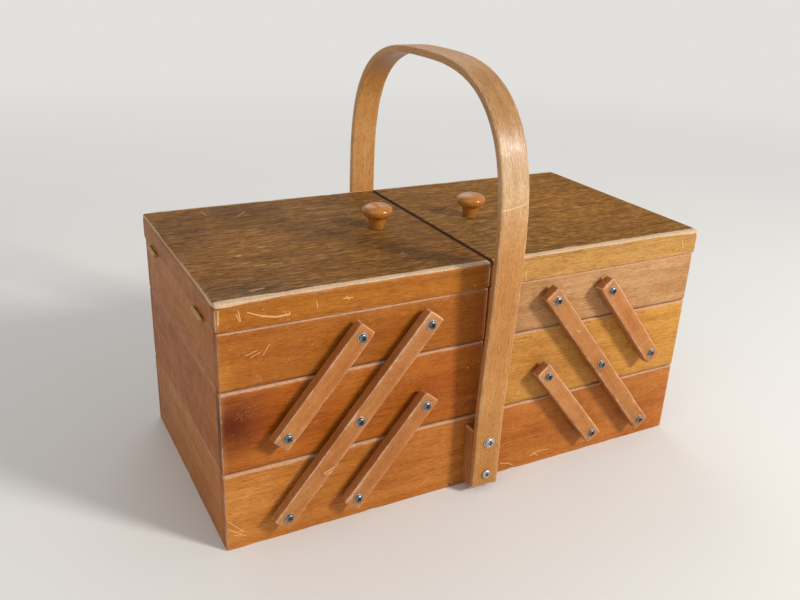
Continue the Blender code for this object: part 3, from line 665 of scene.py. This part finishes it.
def makeWall(name, body, colour, patches, look=walls):
    low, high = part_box(name)
    outward = outwardOf(name)
    long = name.endswith("front") or name.endswith("back")
    front = name.endswith("front")
    cut = look["long" if long else "end"]
    shape, quads, normal, edge = roundedBoard(low, high, rng, cut["steps"], look["radius"],
                                              wallEdges(outward, look["weights"], long), cut["wornRadius"],
                                              nicks=cut["nicks"], nickEdges=2)
    shade = np.array(colour) * rng.uniform(0.95, 1.05)
    layers = woodLayers(shape, normal, edge, "x" if long else "y", outward, shade, rng,
                        patches if front else ())
    if front:
        along = (shape[:, 0] - low[0]) / (high[0] - low[0])
        left, right = look["bands"].get(body, look["usualBand"])
        ripple = wavyLine(shape[:, 0], np.random.default_rng(look["rippleSeed"]), look["rippleLength"])
        band = (left + (right - left) * along) * (1 + look["bandRipple"] * ripple)
        depth = np.maximum((high[2] - shape[:, 2]) / mm, (shape[:, 1] - low[1]) / mm - 0.5)
        layers["state"][:, 0] = np.minimum(edge, np.maximum(depth - band, 0) * 2.5)
        if body != "bottom_box":
            # darker along the lower edge of a tray's front, where it sits on the tier below
            lowerEdgeDarkening = np.exp(-(shape[:, 2] - low[2]) / (look["darkening"]["reach"] * mm))
            layers["tint"] *= 1 - lowerEdgeDarkening[:, None] * np.array(look["darkening"]["factor"])
    wood = markedWood.get(body, wallWood) if front else wallWood
    makePiece(name + "_board", [(shape, quads, layers)], body, wood, [name])


for tier, colour in walls["colours"].items():
    ends = ("left_end", "right_end") if tier == "bottom_box" else ("inner_end", "outer_end")
    for wall in ("front", "back", *ends):
        makeWall(f"{tier}_{wall}", tier, colour, walls["patches"][tier])
    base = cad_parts[f"{tier}_base"].data.materials
    base.clear()
    base.append(plyWood)
print("tier walls made")


lids = {
    "rimThickness": 8.0,
    "colours": {"left": (0.44, 0.160, 0.018), "right": (0.58, 0.330, 0.100)},
    # the veneer tops' own darker tone, darkened further as painted shade for a top less lit than the fronts
    "topsWithPaintedShade": {"left": (0.27, 0.118, 0.022), "right": (0.31, 0.140, 0.026)},
    "topPatches": {
        "left": [((-150, -10, 204), (60, 40, 9), (1.22, 1.22, 1.15)),
                 ((-60, 30, 204), (60, 50, 9), (0.98, 1.07, 1.45)),
                 ((-205, 60, 204), (30, 60, 9), (0.8, 0.8, 0.85)),
                 ((-47, 0, 204), (16, 16, 9), (1.15, 1.2, 1.3)),
                 ((-190, -96, 204), (36, 14, 9), (0.62, 0.72, 1.5))],
        "right": [((150, 0, 204), (60, 60, 9), (1.25, 1.2, 1.1)),
                  ((40, -30, 204), (40, 60, 9), (0.96, 1.07, 1.55)),
                  ((190, -90, 204), (40, 20, 9), (0.85, 0.83, 0.85)),
                  ((47, 0, 204), (16, 16, 9), (1.15, 1.2, 1.3))],
    },
    "edgeRadius": 0.15, "panelWorn": 1.6, "rimWorn": 1.4,
    "rimWeights": {"top": 0.02, "bottom": 0.3, "corner": 1.0, "innerTop": 0.02},
    # painted shade by the seam: the top darkens towards the first colour near it, the faces into it by the last
    # number
    "seamPaintedShade": (0.11, 0.055, 0.05), "seamReach": 1.1, "innerPaintedShade": 0.35,
    # the bare band on the panel: its width along the front and back of the top, how far it comes down the
    # sides, and how much further at the outer front corner
    "band": {"front": 4.6, "back": 3.0, "down": 0.9, "corner": 2.4, "cornerReach": 24, "cornerAt": (221, -107)},
    "panelLines": (0, 0.3, 0.6, 0.95, 1.4, 2.0, 2.8, 3.6, 4.3, 4.8, 5.3, 6.0),
}
for side, sign in sides.items():
    body = f"{side}_lid"
    low, high = (np.array(corner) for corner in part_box(f"{side}_lid_rim"))
    panelLow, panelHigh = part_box(f"{side}_lid_panel")
    high[2] = panelLow[2]                        # glued to the panel
    thick = lids["rimThickness"] * mm
    parts = []
    for wall in ("front", "back", "inner_end", "outer_end"):
        outward = outwardOf(f"{side}_{wall}")
        axis = int(np.argmax(np.abs(outward)))
        a, b = low.copy(), high.copy()
        if outward[axis] > 0:
            a[axis] = high[axis] - thick
        else:
            b[axis] = low[axis] + thick
        if axis == 0:
            a[1], b[1] = low[1] + thick, high[1] - thick
        shape, quads, normal, edge = roundedBoard(a, b, rng, (2, 4, 3), lids["edgeRadius"],
                                                  wallEdges(outward, lids["rimWeights"], axis == 1),
                                                  lids["rimWorn"])
        layers = woodLayers(shape, normal, edge, "x" if axis else "y", outward, lids["colours"][side], rng)
        # the rim's inner end, which faces the seam between the lids, is darkened as painted shade
        layers["tint"] *= lids["innerPaintedShade"] if wall == "inner_end" else 1
        parts.append((shape, quads, layers))
    makePiece(f"{side}_lid_rim_frame", parts, body, markedWood[body], [f"{side}_lid_rim"])

    low, high = panelLow, panelHigh
    inner, outer = ("+x", "-x") if sign < 0 else ("-x", "+x")
    worn = [("-y", "+z", 0.6), ("+y", "+z", 0.6), (outer, "+z", 0.4),
            ("-y", inner, 0.9), ("-y", outer, 0.9), ("+y", inner, 0.7), ("+y", outer, 0.7)]
    shape, quads, normal, edge = roundedBoard(low, high, rng, (2.5, 3, 1), lids["edgeRadius"], worn,
                                              lids["panelWorn"],
                                              nicks=14, nickEdges=2, near=lids["panelLines"])
    band, x, y, z = lids["band"], *shape.T / mm
    ripple = 1 + 0.12 * wavyLine(shape[:, 0], rng, 0.09)
    across = np.minimum((y - low[1] / mm) / band["front"], (high[1] / mm - y) / band["back"]) / ripple
    cornerX, cornerY = band["cornerAt"]
    corner = np.exp(-((x - sign * cornerX) ** 2 + (y - cornerY) ** 2) / band["cornerReach"] ** 2)
    down = band["down"] + band["corner"] * corner
    flat = np.abs(normal[:, 2]) > 0.7
    bare = np.where(flat, np.maximum(across - 1, 0) * 8, np.maximum(high[2] / mm - z - down, 0) * 3)
    bare = np.minimum(edge, bare)
    inset = np.abs(x) - np.abs(x).min()          # from the seam between the lids
    bare[inset < lids["seamReach"]] = farFromEdge
    layers = woodLayers(shape, normal, bare, "x", (0, 0, 1), lids["topsWithPaintedShade"][side], rng, lids["topPatches"][side])
    layers["tint"][~flat] = lids["colours"][side]
    # painted shade: the top is darkened along the seam between the lids
    nearSeam = np.exp(-(inset[flat] / lids["seamReach"]) ** 2)
    layers["tint"][flat] *= np.array(lids["seamPaintedShade"]) ** nearSeam[:, None]
    # the panel's faces that look into the seam get the same painted shade
    layers["tint"][normal[:, 0] * -sign > 0.6] *= lids["innerPaintedShade"]
    layers["state"][:, 1:] = 0
    makePiece(f"{side}_lid_top", [(shape, quads, layers)], body, lidWood, [f"{side}_lid_panel"],
              sideMaterial=markedWood[body])
print("lids made")


arms = {
    "width": 15.4, "thickness": 9.4, "end": 9.0, "radius": 0.7, "wornRadius": 0.9, "boss": 5.5,
    "pivotX": (59.5, 117.0, 174.5), "pivotZ": (26.0, 96.0, 166.0),
    "links": {"long": ((2, 0), (0, 2)), "lower": ((1, 0), (0, 1)), "upper": ((2, 1), (1, 2))},
    "colours": {"long": (0.485, 0.205, 0.062), "lower": (0.515, 0.222, 0.072), "upper": (0.510, 0.208, 0.062)},
}


def bossShape(radius, foot, reach, colour):
    # a disc turned round its screw, with a rounded rim on the wall's side; it starts a little inside the arm
    rim, back = 0.4 * mm, 0.5 * mm
    profile = [(0, -back), (radius, -back), (radius, abs(reach) - rim), (radius - rim, abs(reach)),
               (0, abs(reach))]
    points, faces = turnedShape(profile, foot, (0, math.copysign(1, reach), 0), 40)
    return points, faces, {"grain": points + 0.3, "state": plainState(points, 0.6),
                           "tint": patchedTint(points, colour)}


for side, sign in sides.items():
    for kind, ((x0, z0), (x1, z1)) in arms["links"].items():
        start = np.array([sign * arms["pivotX"][x0], 0, arms["pivotZ"][z0]]) * mm
        end = np.array([sign * arms["pivotX"][x1], 0, arms["pivotZ"][z1]]) * mm
        run = np.linalg.norm(end - start)
        along = (end - start) / run
        for face, look in showFaces.items():
            node = f"{side}_{kind}_arm_{face}"
            low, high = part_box(node)
            up = np.cross(along, (0, 1, 0))
            up = up if np.linalg.det(np.stack([along, (0, 1, 0), up])) > 0 else -up
            # the arm is made flat, along x from its lower pivot, and then turned to its slope
            reach, half = arms["end"] * mm, arms["width"] / 2 * mm
            outer = "-y" if face == "front" else "+y"
            worn = [(outer, "+z", 1.0), (outer, "-z", 1.0), (outer, "+x", 1.2), (outer, "-x", 1.0),
                    ("+x", "+z", 0.7), ("+x", "-z", 0.7)]
            thick = arms["thickness"] * mm
            near, far = (low[1], low[1] + thick) if face == "front" else (high[1] - thick, high[1])
            flatLow, flatHigh = (-reach, near, -half), (run + reach, far, half)
            shape, quads, normal, edge = roundedBoard(flatLow, flatHigh, rng, (2.2, 3, 2.6), arms["radius"],
                                                      worn, arms["wornRadius"], nicks=7)
            layers = woodLayers(shape, normal, edge, "x", (0, look, 0), arms["colours"][kind], rng)
            layers["state"][:, 1] *= 0.6
            shape = start + shape[:, :1] * along + shape[:, 1:2] * np.array((0, 1, 0)) + shape[:, 2:] * up
            parts = [(shape, quads, layers)]
            # a boss round each pivot hole stands between the arm and the wall
            wallSide, barSide = (high[1], far) if face == "front" else (low[1], near)
            for x, z in ((x0, z0), (1, 1), (x1, z1))[::1 if kind == "long" else 2]:
                foot = np.array([sign * arms["pivotX"][x] * mm, barSide, arms["pivotZ"][z] * mm])
                parts.append(bossShape(arms["boss"] * mm, foot, wallSide - barSide, arms["colours"][kind]))
            makePiece(node + "_bar", parts, f"{side}_{kind}_arms", armWood, [node])
print("arms made")


screws = {
    "pivot": {"washer": 4.35, "radius": 3.4, "rim": 0.5, "dome": 1.5, "cross": (0.27, 0.62), "depth": 1.25,
              "length": 15.5},
    "handleUpper": {"washer": 5.3, "radius": 4.2, "rim": 0.5, "dome": 1.4, "cross": (0.26, 0.68),
                    "depth": 1.3, "length": 22},
    "handleLower": {"washer": 0, "radius": 4.1, "rim": 0.5, "dome": 1.7, "cross": (0.24, 0.6), "depth": 1.3,
                    "length": 22},
    "hinge": {"washer": 0, "radius": 1.5, "rim": 0.02, "dome": 0.09, "cross": (0.26, 0.7), "depth": 0.06,
              "length": 8},
    "knob": {"washer": 0, "radius": 4.2, "rim": 0.7, "dome": 1.6, "cross": (0.24, 0.6), "depth": 1.3,
             "length": 14},
    "washerThick": 0.5, "headHeight": 2.4,
}


def washerShape(radius, hole, thick, centre, axis):
    # a flat ring whose outer edge is rounded: its section is carried round the screw
    bevel = min(0.2 * mm, thick * 0.45)
    small = bevel * 0.3
    section = [(hole, 0), (radius - bevel, 0), (radius - small, small), (radius, bevel), (radius, thick - bevel),
               (radius - small, thick - small), (radius - bevel, thick), (hole, thick)]
    return turnedShape(section, centre, axis, 40, closed=True)


def plainMetal(points, faces):
    return points, faces, {"recess": np.zeros(len(points))}


def makeScrew(name, kind, seat, axis, body, metal, ringMetal=None, replaces=()):
    look = screws[kind]
    seat, axis = np.array(seat, float), np.array(axis, float)
    washerThick = screws["washerThick"] * mm if look["washer"] else 0
    base, length = seat + axis * washerThick, look["length"] * mm
    shape, quads, cross = crossHead(look["radius"] * mm, look["rim"] * mm, look["dome"] * mm, look["cross"],
                                    look["depth"] * mm, rng.uniform(0, math.pi))
    parts = [(placed(shape, base, axis), quads, {"recess": cross})]
    shank = look["radius"] * 0.48 * mm
    tip = [(0, -length), (shank * 0.4, -length + 1.2 * mm), (shank, -length + 3 * mm), (shank, 0.1 * mm),
           (0, 0.1 * mm)]
    parts.append(plainMetal(*turnedShape(tip, base, axis, 16)))
    makePiece(name, parts, body, metal, replaces, sharp=50)
    if look["washer"]:
        ring = plainMetal(*washerShape(look["washer"] * mm, shank * 1.1, washerThick, seat, axis))
        makePiece(name + "_washer", [ring], body, ringMetal, sharp=50)


for side, sign in sides.items():
    # each pivot screw is driven into the wall that its arm turns on
    pivots = {"long_low": (2, 0, "bottom_box"), "long_middle": (1, 1, f"{side}_middle_tray"),
              "long_top": (0, 2, f"{side}_top_tray"),
              "lower_low": (1, 0, "bottom_box"), "lower_top": (0, 1, f"{side}_middle_tray"),
              "upper_low": (2, 1, f"{side}_middle_tray"), "upper_top": (1, 2, f"{side}_top_tray")}
    for face, look in showFaces.items():
        armLow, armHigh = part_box(f"{side}_long_arm_{face}")
        outer = armLow[1] if look < 0 else armHigh[1]
        for kind, (ix, iz, body) in pivots.items():
            seat = (sign * arms["pivotX"][ix] * mm, outer, arms["pivotZ"][iz] * mm)
            makeScrew(f"{side}_pivot_screw_{face}_{kind}", "pivot", seat, (0, look, 0), body, pivotSteel,
                      washerSteel)
    low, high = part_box(f"{side}_knob_screw")
    seat = ((low[0] + high[0]) / 2, 0, low[2] + screws["headHeight"] * mm)
    makeScrew(f"{side}_knob_screw_head", "knob", seat, (0, 0, -1), f"{side}_lid", handleSteel,
              replaces=[f"{side}_knob_screw"])
for face, look in showFaces.items():
    for level in ("lower", "upper"):
        node = f"handle_screw_{face}_{level}"
        low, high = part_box(node)
        headHeight = screws["headHeight"] * mm
        seatY = low[1] + headHeight if look < 0 else high[1] - headHeight
        seat = ((low[0] + high[0]) / 2, seatY, (low[2] + high[2]) / 2)
        makeScrew(node + "_head", "handleUpper" if level == "upper" else "handleLower", seat, (0, look, 0),
                  "bottom_box",
                  handleSteel, handleSteel, [node])
print("screws made")


handle = {
    "width": 25.0, "thickness": 6.5, "foot": 6.0, "spacerTop": 60.0, "shoulder": 215.0, "spread": 6.4,
    "rise": 136.3, "power": 2.87, "footY": 125.8, "colour": (0.58, 0.290, 0.085),
    "spacerColour": (0.45, 0.20, 0.075),
    # the first patch is a painted highlight on the front shoulder of the bend
    "patches": [((0, -130, 272), (30, 16, 36), (1.20, 1.66, 3.2)),
                ((0, -129, 172), (30, 16, 70), (0.90, 0.81, 0.68)),
                ((0, 126, 250), (30, 16, 70), (1.16, 1.25, 1.6)),
                ((0, -126, 20), (30, 14, 40), (0.88, 0.80, 0.66)),
                ((0, -95, 330), (40, 60, 50), (0.80, 0.90, 1.3))],
}
# the strip's outer line: straight legs that lean out by a smooth step, then a superellipse, |y/a|^n +
# |z/b|^n = 1
legZ = np.linspace(handle["foot"], handle["shoulder"], 160)
legY = handle["footY"] + handle["spread"] * smoothStep(legZ, handle["spacerTop"], handle["shoulder"])
phi = np.linspace(0, math.pi / 2, 400)[1:]
archY = (handle["footY"] + handle["spread"]) * np.cos(phi).clip(1e-9) ** (2 / handle["power"])
archZ = handle["shoulder"] + handle["rise"] * np.sin(phi) ** (2 / handle["power"])
lineY = np.concatenate([-legY, -archY, archY[::-1][1:], legY[::-1]]) * mm
lineZ = np.concatenate([legZ, archZ, archZ[::-1][1:], legZ[::-1]]) * mm
travel = np.concatenate([[0], np.cumsum(np.hypot(np.diff(lineY), np.diff(lineZ)))])
total = travel[-1]
even = np.linspace(0, total, 1600)
pathY, pathZ = np.interp(even, travel, lineY), np.interp(even, travel, lineZ)
tangent = np.stack([np.gradient(pathY, even), np.gradient(pathZ, even)], 1)
kernel = np.hanning(31) / np.hanning(31).sum()
tangent = np.stack([np.convolve(np.pad(t, 15, mode="edge"), kernel, mode="valid") for t in tangent.T], 1)
tangent /= np.linalg.norm(tangent, axis=1)[:, None]


def alongHandle(flat):
    # a point (s, x, depth) of the straight strip goes to the line's point at length s, moved in by its depth
    s = np.clip(flat[:, 0], 0, total)
    y, z = np.interp(s, even, pathY), np.interp(s, even, pathZ)
    ty, tz = np.interp(s, even, tangent[:, 0]), np.interp(s, even, tangent[:, 1])
    size = np.hypot(ty, tz)
    inY, inZ = tz / size, -ty / size
    return np.stack([flat[:, 1], y + flat[:, 2] * inY, z + flat[:, 2] * inZ], 1)


halfWidth = handle["width"] / 2 * mm
worn = [("-z", "-y", 1.0), ("-z", "+y", 1.0), ("+z", "-y", 0.7), ("+z", "+y", 0.7), ("-z", "-x", 1.0),
        ("-z", "+x", 1.0)]
flat, quads, normal, edge = roundedBoard((0, -halfWidth, 0), (total, halfWidth, handle["thickness"] * mm),
                                         rng, (2.5, 2.5, 2), 1.0, worn, 0.5, nicks=16)
shape = alongHandle(flat)
state = np.stack([edge, np.zeros(len(shape)), smoothStep(np.abs(normal[:, 0]), 0.6, 0.9)], 1)
# the tint carries the painted highlight on the front shoulder
tint = patchedTint(shape, handle["colour"], handle["patches"])
layers = {"grain": flat + rng.uniform(0, 1, 3), "state": state, "tint": tint}
makePiece("handle_bent_strip", [(shape, quads, layers)], "bottom_box", handleWood,
          ["handle_strip"])
for face, outward in (("front", (0, -1, 0)), ("back", (0, 1, 0))):
    node = f"handle_spacer_{face}"
    low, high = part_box(node)
    worn = [("-x", "+z", 0.6), ("+x", "+z", 0.6)]
    shape, quads, normal, edge = roundedBoard(low, high, rng, (3, 3, 3), 0.6, worn, 0.5)
    layers = woodLayers(shape, normal, edge, "z", outward, handle["spacerColour"], rng)
    layers["state"][:, 1] = 0
    makePiece(node + "_block", [(shape, quads, layers)], "bottom_box", armWood, [node])
print("handle made")


knobs = {"neck": 6.8, "neckTop": 9.8, "brim": 14.8, "radius": 13.0, "height": 21.0,
         "flare": 0.27, "footFlare": 0.5, "crown": 0.92, "footPaintedShade": 0.35, "colour": (0.56, 0.235, 0.045)}
neck = [(0, 0)] + [(knobs["neck"] * (1 + knobs["flare"] * s ** 3) + knobs["footFlare"] * math.exp(-s * 14),
                    knobs["neckTop"] * s) for s in np.linspace(0, 1, 18)]
neckRadius = neck[-1][0]
belowBrim, aboveBrim = knobs["brim"] - knobs["neckTop"], knobs["height"] - knobs["brim"]
under = [(neckRadius + (knobs["radius"] - neckRadius) * math.sin(s), knobs["brim"] - belowBrim * math.cos(s))
         for s in np.linspace(0, math.pi / 2, 16)[1:]]
over = [(knobs["radius"] * math.cos(s), knobs["brim"] + aboveBrim * math.sin(s) ** knobs["crown"])
        for s in np.linspace(0, math.pi / 2, 26)[1:]]
over[-1] = (0, knobs["height"])
profile = [(r * mm, h * mm) for r, h in neck + under + over]
for side in ("left", "right"):
    node = f"{side}_knob"
    low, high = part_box(node)
    centre = ((low[0] + high[0]) / 2, 0, low[2])
    points, faces = turnedShape(profile, centre, (0, 0, 1), 96)
    height = (points[:, 2] - low[2]) / mm
    # painted shade round the knob's foot, where it stands on the lid
    footPaintedShade = 1 - knobs["footPaintedShade"] * np.exp(-((height - 1.0) / 3) ** 2)
    tint = np.array(knobs["colour"]) * footPaintedShade[:, None]
    layers = {"grain": grainOf(points, "z", rng), "state": plainState(points), "tint": tint}
    makePiece(node + "_turned", [(points, faces, layers)], f"{side}_lid", knobWood, [node])
print("knobs made")


hinges = {
    "knuckle": 1.7, "pin": 0.8, "pinOverrun": 0.3, "middle": 8.0, "gap": 0.3, "length": 24.0,
    "axis": (222.6, 182.0), "plateX": (212.3, 220.6), "tabX": (220.3, 222.2),
    "plateZ": {"tray_leaf": (180.85, 181.85), "lid_leaf": (182.15, 183.15)},
    "screwAlong": 8.0, "screwIn": 3.4,
}


def knuckle(y0, y1, centre, radius):
    bevel = 0.25 * mm
    section = [(0, 0), (radius - bevel, 0), (radius, bevel), (radius, y1 - y0 - bevel),
               (radius - bevel, y1 - y0), (0, y1 - y0)]
    return turnedShape(section, (centre[0], y0, centre[1]), (0, 1, 0), 28)


for side, sign in sides.items():
    for face, look in showFaces.items():
        for leaf, body in (("tray_leaf", f"{side}_top_tray"), ("lid_leaf", f"{side}_lid")):
            node = f"{side}_hinge_{face}_{leaf}"
            low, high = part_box(node)
            mid = (low[1] + high[1]) / 2
            centre = (sign * hinges["axis"][0] * mm, hinges["axis"][1] * mm)
            plateX = sorted(sign * x * mm for x in hinges["plateX"])
            tabX = sorted(sign * x * mm for x in hinges["tabX"])
            plateZ = [z * mm for z in hinges["plateZ"][leaf]]
            halfLength, halfMiddle = hinges["length"] / 2 * mm, hinges["middle"] / 2 * mm
            gap = hinges["gap"] * mm
            spans = [(-halfLength, -halfMiddle - gap), (halfMiddle + gap, halfLength)]
            if leaf == "lid_leaf":
                spans = [(-halfMiddle, halfMiddle)]
            blocks = [(plateX, (-halfLength, halfLength))] + [(tabX, span) for span in spans]
            shapes = []
            for (x0, x1), (y0, y1) in blocks:
                shapes.append(roundedBoard((x0, mid + y0, plateZ[0]), (x1, mid + y1, plateZ[1]), rng,
                                           (2, 3, 1), 0.12)[:2])
            shapes += [knuckle(mid + y0, mid + y1, centre, hinges["knuckle"] * mm) for y0, y1 in spans]
            if leaf == "tray_leaf":
                halfPin = halfLength + hinges["pinOverrun"] * mm
                shapes.append(knuckle(mid - halfPin, mid + halfPin, centre, hinges["pin"] * mm))
            parts = [plainMetal(*one) for one in shapes]
            makePiece(node + "_plate", parts, body, hingeBrass, [node], sharp=40)
            out, seatZ = ((0, 0, 1), plateZ[1]) if leaf == "tray_leaf" else ((0, 0, -1), plateZ[0])
            for k, step in enumerate((-1, 1)):
                seatX = sign * (hinges["plateX"][1] - hinges["screwIn"]) * mm
                seat = (seatX, mid + step * hinges["screwAlong"] * mm, seatZ)
                makeScrew(f"{node}_screw_{k + 1}", "hinge", seat, out, body, hingeBrass)
print("hinges made")


stage = {"floor": (0.78, 0.77, 0.75), "floorTone": 0.985, "far": (0.76, 0.75, 0.73), "fade": (0.5, 2.4),
         "reach": 100.0,
         "world": (1.0, 0.99, 0.97), "worldStrength": 0.43}
floorDesk = Desk("pale floor")
place = floorDesk.objectPlace()
cloudy = floorDesk.ramp(floorDesk.noise(place, (3, 3, 3), 3, 0.5), 0.3, 0.7)
darker = tuple(stage["floorTone"] * c for c in stage["floor"])
floorDesk.put(floorDesk.shader.inputs["Base Color"], floorDesk.mix(cloudy, stage["floor"], darker))
floorDesk.shader.inputs["Roughness"].default_value = 0.85
floorDesk.shader.inputs["Specular IOR Level"].default_value = 0.2
# far from the box the floor shows its own pale colour to the camera and to mirrors, and lights nothing
seen = floorDesk.node("LightPath")
mirrored = floorDesk.math("MAXIMUM", seen.outputs["Is Glossy Ray"], seen.outputs["Is Transmission Ray"])
shown = floorDesk.math("MAXIMUM", seen.outputs["Is Camera Ray"], mirrored)
far = floorDesk.ramp(floorDesk.vector("LENGTH", place), stage["fade"][0], stage["fade"][1])
glow = floorDesk.node("Emission")
glow.inputs["Color"].default_value = (*stage["far"], 1)
blend = floorDesk.node("MixShader")
floorDesk.put(blend.inputs[0], floorDesk.math("MULTIPLY", shown, far))
floorDesk.put(blend.inputs[1], floorDesk.shader.outputs[0])
floorDesk.put(blend.inputs[2], glow.outputs[0])
floorDesk.put(floorDesk.tree.nodes["Material Output"].inputs[0], blend.outputs[0])
reach = stage["reach"]
floorMesh = bpy.data.meshes.new("floor")
floorMesh.from_pydata([(-reach, -reach, 0), (reach, -reach, 0), (reach, reach, 0), (-reach, reach, 0)], [],
                      [(0, 1, 2, 3)])
floorMesh.materials.append(floorDesk.material)
floor = bpy.data.objects.new("floor", floorMesh)
bpy.context.scene.collection.objects.link(floor)

world = bpy.data.worlds.new("studio")
bpy.context.scene.world = world
world.use_nodes = True
world.node_tree.nodes["Background"].inputs["Color"].default_value = (*stage["world"], 1)
world.node_tree.nodes["Background"].inputs["Strength"].default_value = stage["worldStrength"]

lamps = {
    "key": {"from": (1.25, -1.75, 1.35), "size": 0.5, "power": 50, "colour": (1.0, 0.975, 0.94)},
    "fill": {"from": (-1.9, -1.3, 1.5), "size": 2.2, "power": 10, "colour": (0.97, 0.985, 1.0)},
    "back": {"from": (0.4, 1.9, 1.8), "size": 2.0, "power": 14, "colour": (1.0, 1.0, 1.0)},
}
target = Vector((0, 0, 0.13))
for name, look in lamps.items():
    light = bpy.data.lights.new(name, "AREA")
    light.shape = "DISK"
    light.size = look["size"]
    light.energy = look["power"]
    light.color = look["colour"]
    lamp = bpy.data.objects.new(name, light)
    bpy.context.scene.collection.objects.link(lamp)
    lamp.location = look["from"]
    lamp.rotation_mode = "QUATERNION"
    lamp.rotation_quaternion = (target - Vector(look["from"])).to_track_quat("-Z", "Y")

view = {"place": (-0.3552, -0.60605, 0.42767), "azimuth": -28.863, "elevation": 23.130, "roll": 2.561,
        "lens": 37.45, "sensor": 36, "clip": (0.01, 400)}
azimuth, elevation, roll = (math.radians(view[key]) for key in ("azimuth", "elevation", "roll"))
backward = Vector((math.sin(azimuth) * math.cos(elevation), -math.cos(azimuth) * math.cos(elevation),
                   math.sin(elevation)))
level = (-backward).cross(Vector((0, 0, 1))).normalized()
upright = level.cross(-backward)
rightward = math.cos(roll) * level + math.sin(roll) * upright
upward = -math.sin(roll) * level + math.cos(roll) * upright
camera = bpy.data.objects.new("camera", bpy.data.cameras.new("camera"))
bpy.context.scene.collection.objects.link(camera)
camera.data.lens = view["lens"]
camera.data.sensor_width = view["sensor"]
camera.data.clip_start, camera.data.clip_end = view["clip"]
turn = Matrix((rightward, upward, backward)).transposed().to_4x4()
camera.matrix_world = Matrix.Translation(view["place"]) @ turn
bpy.context.scene.camera = camera
bpy.context.scene.view_settings.view_transform = "Standard"
print("stage set")
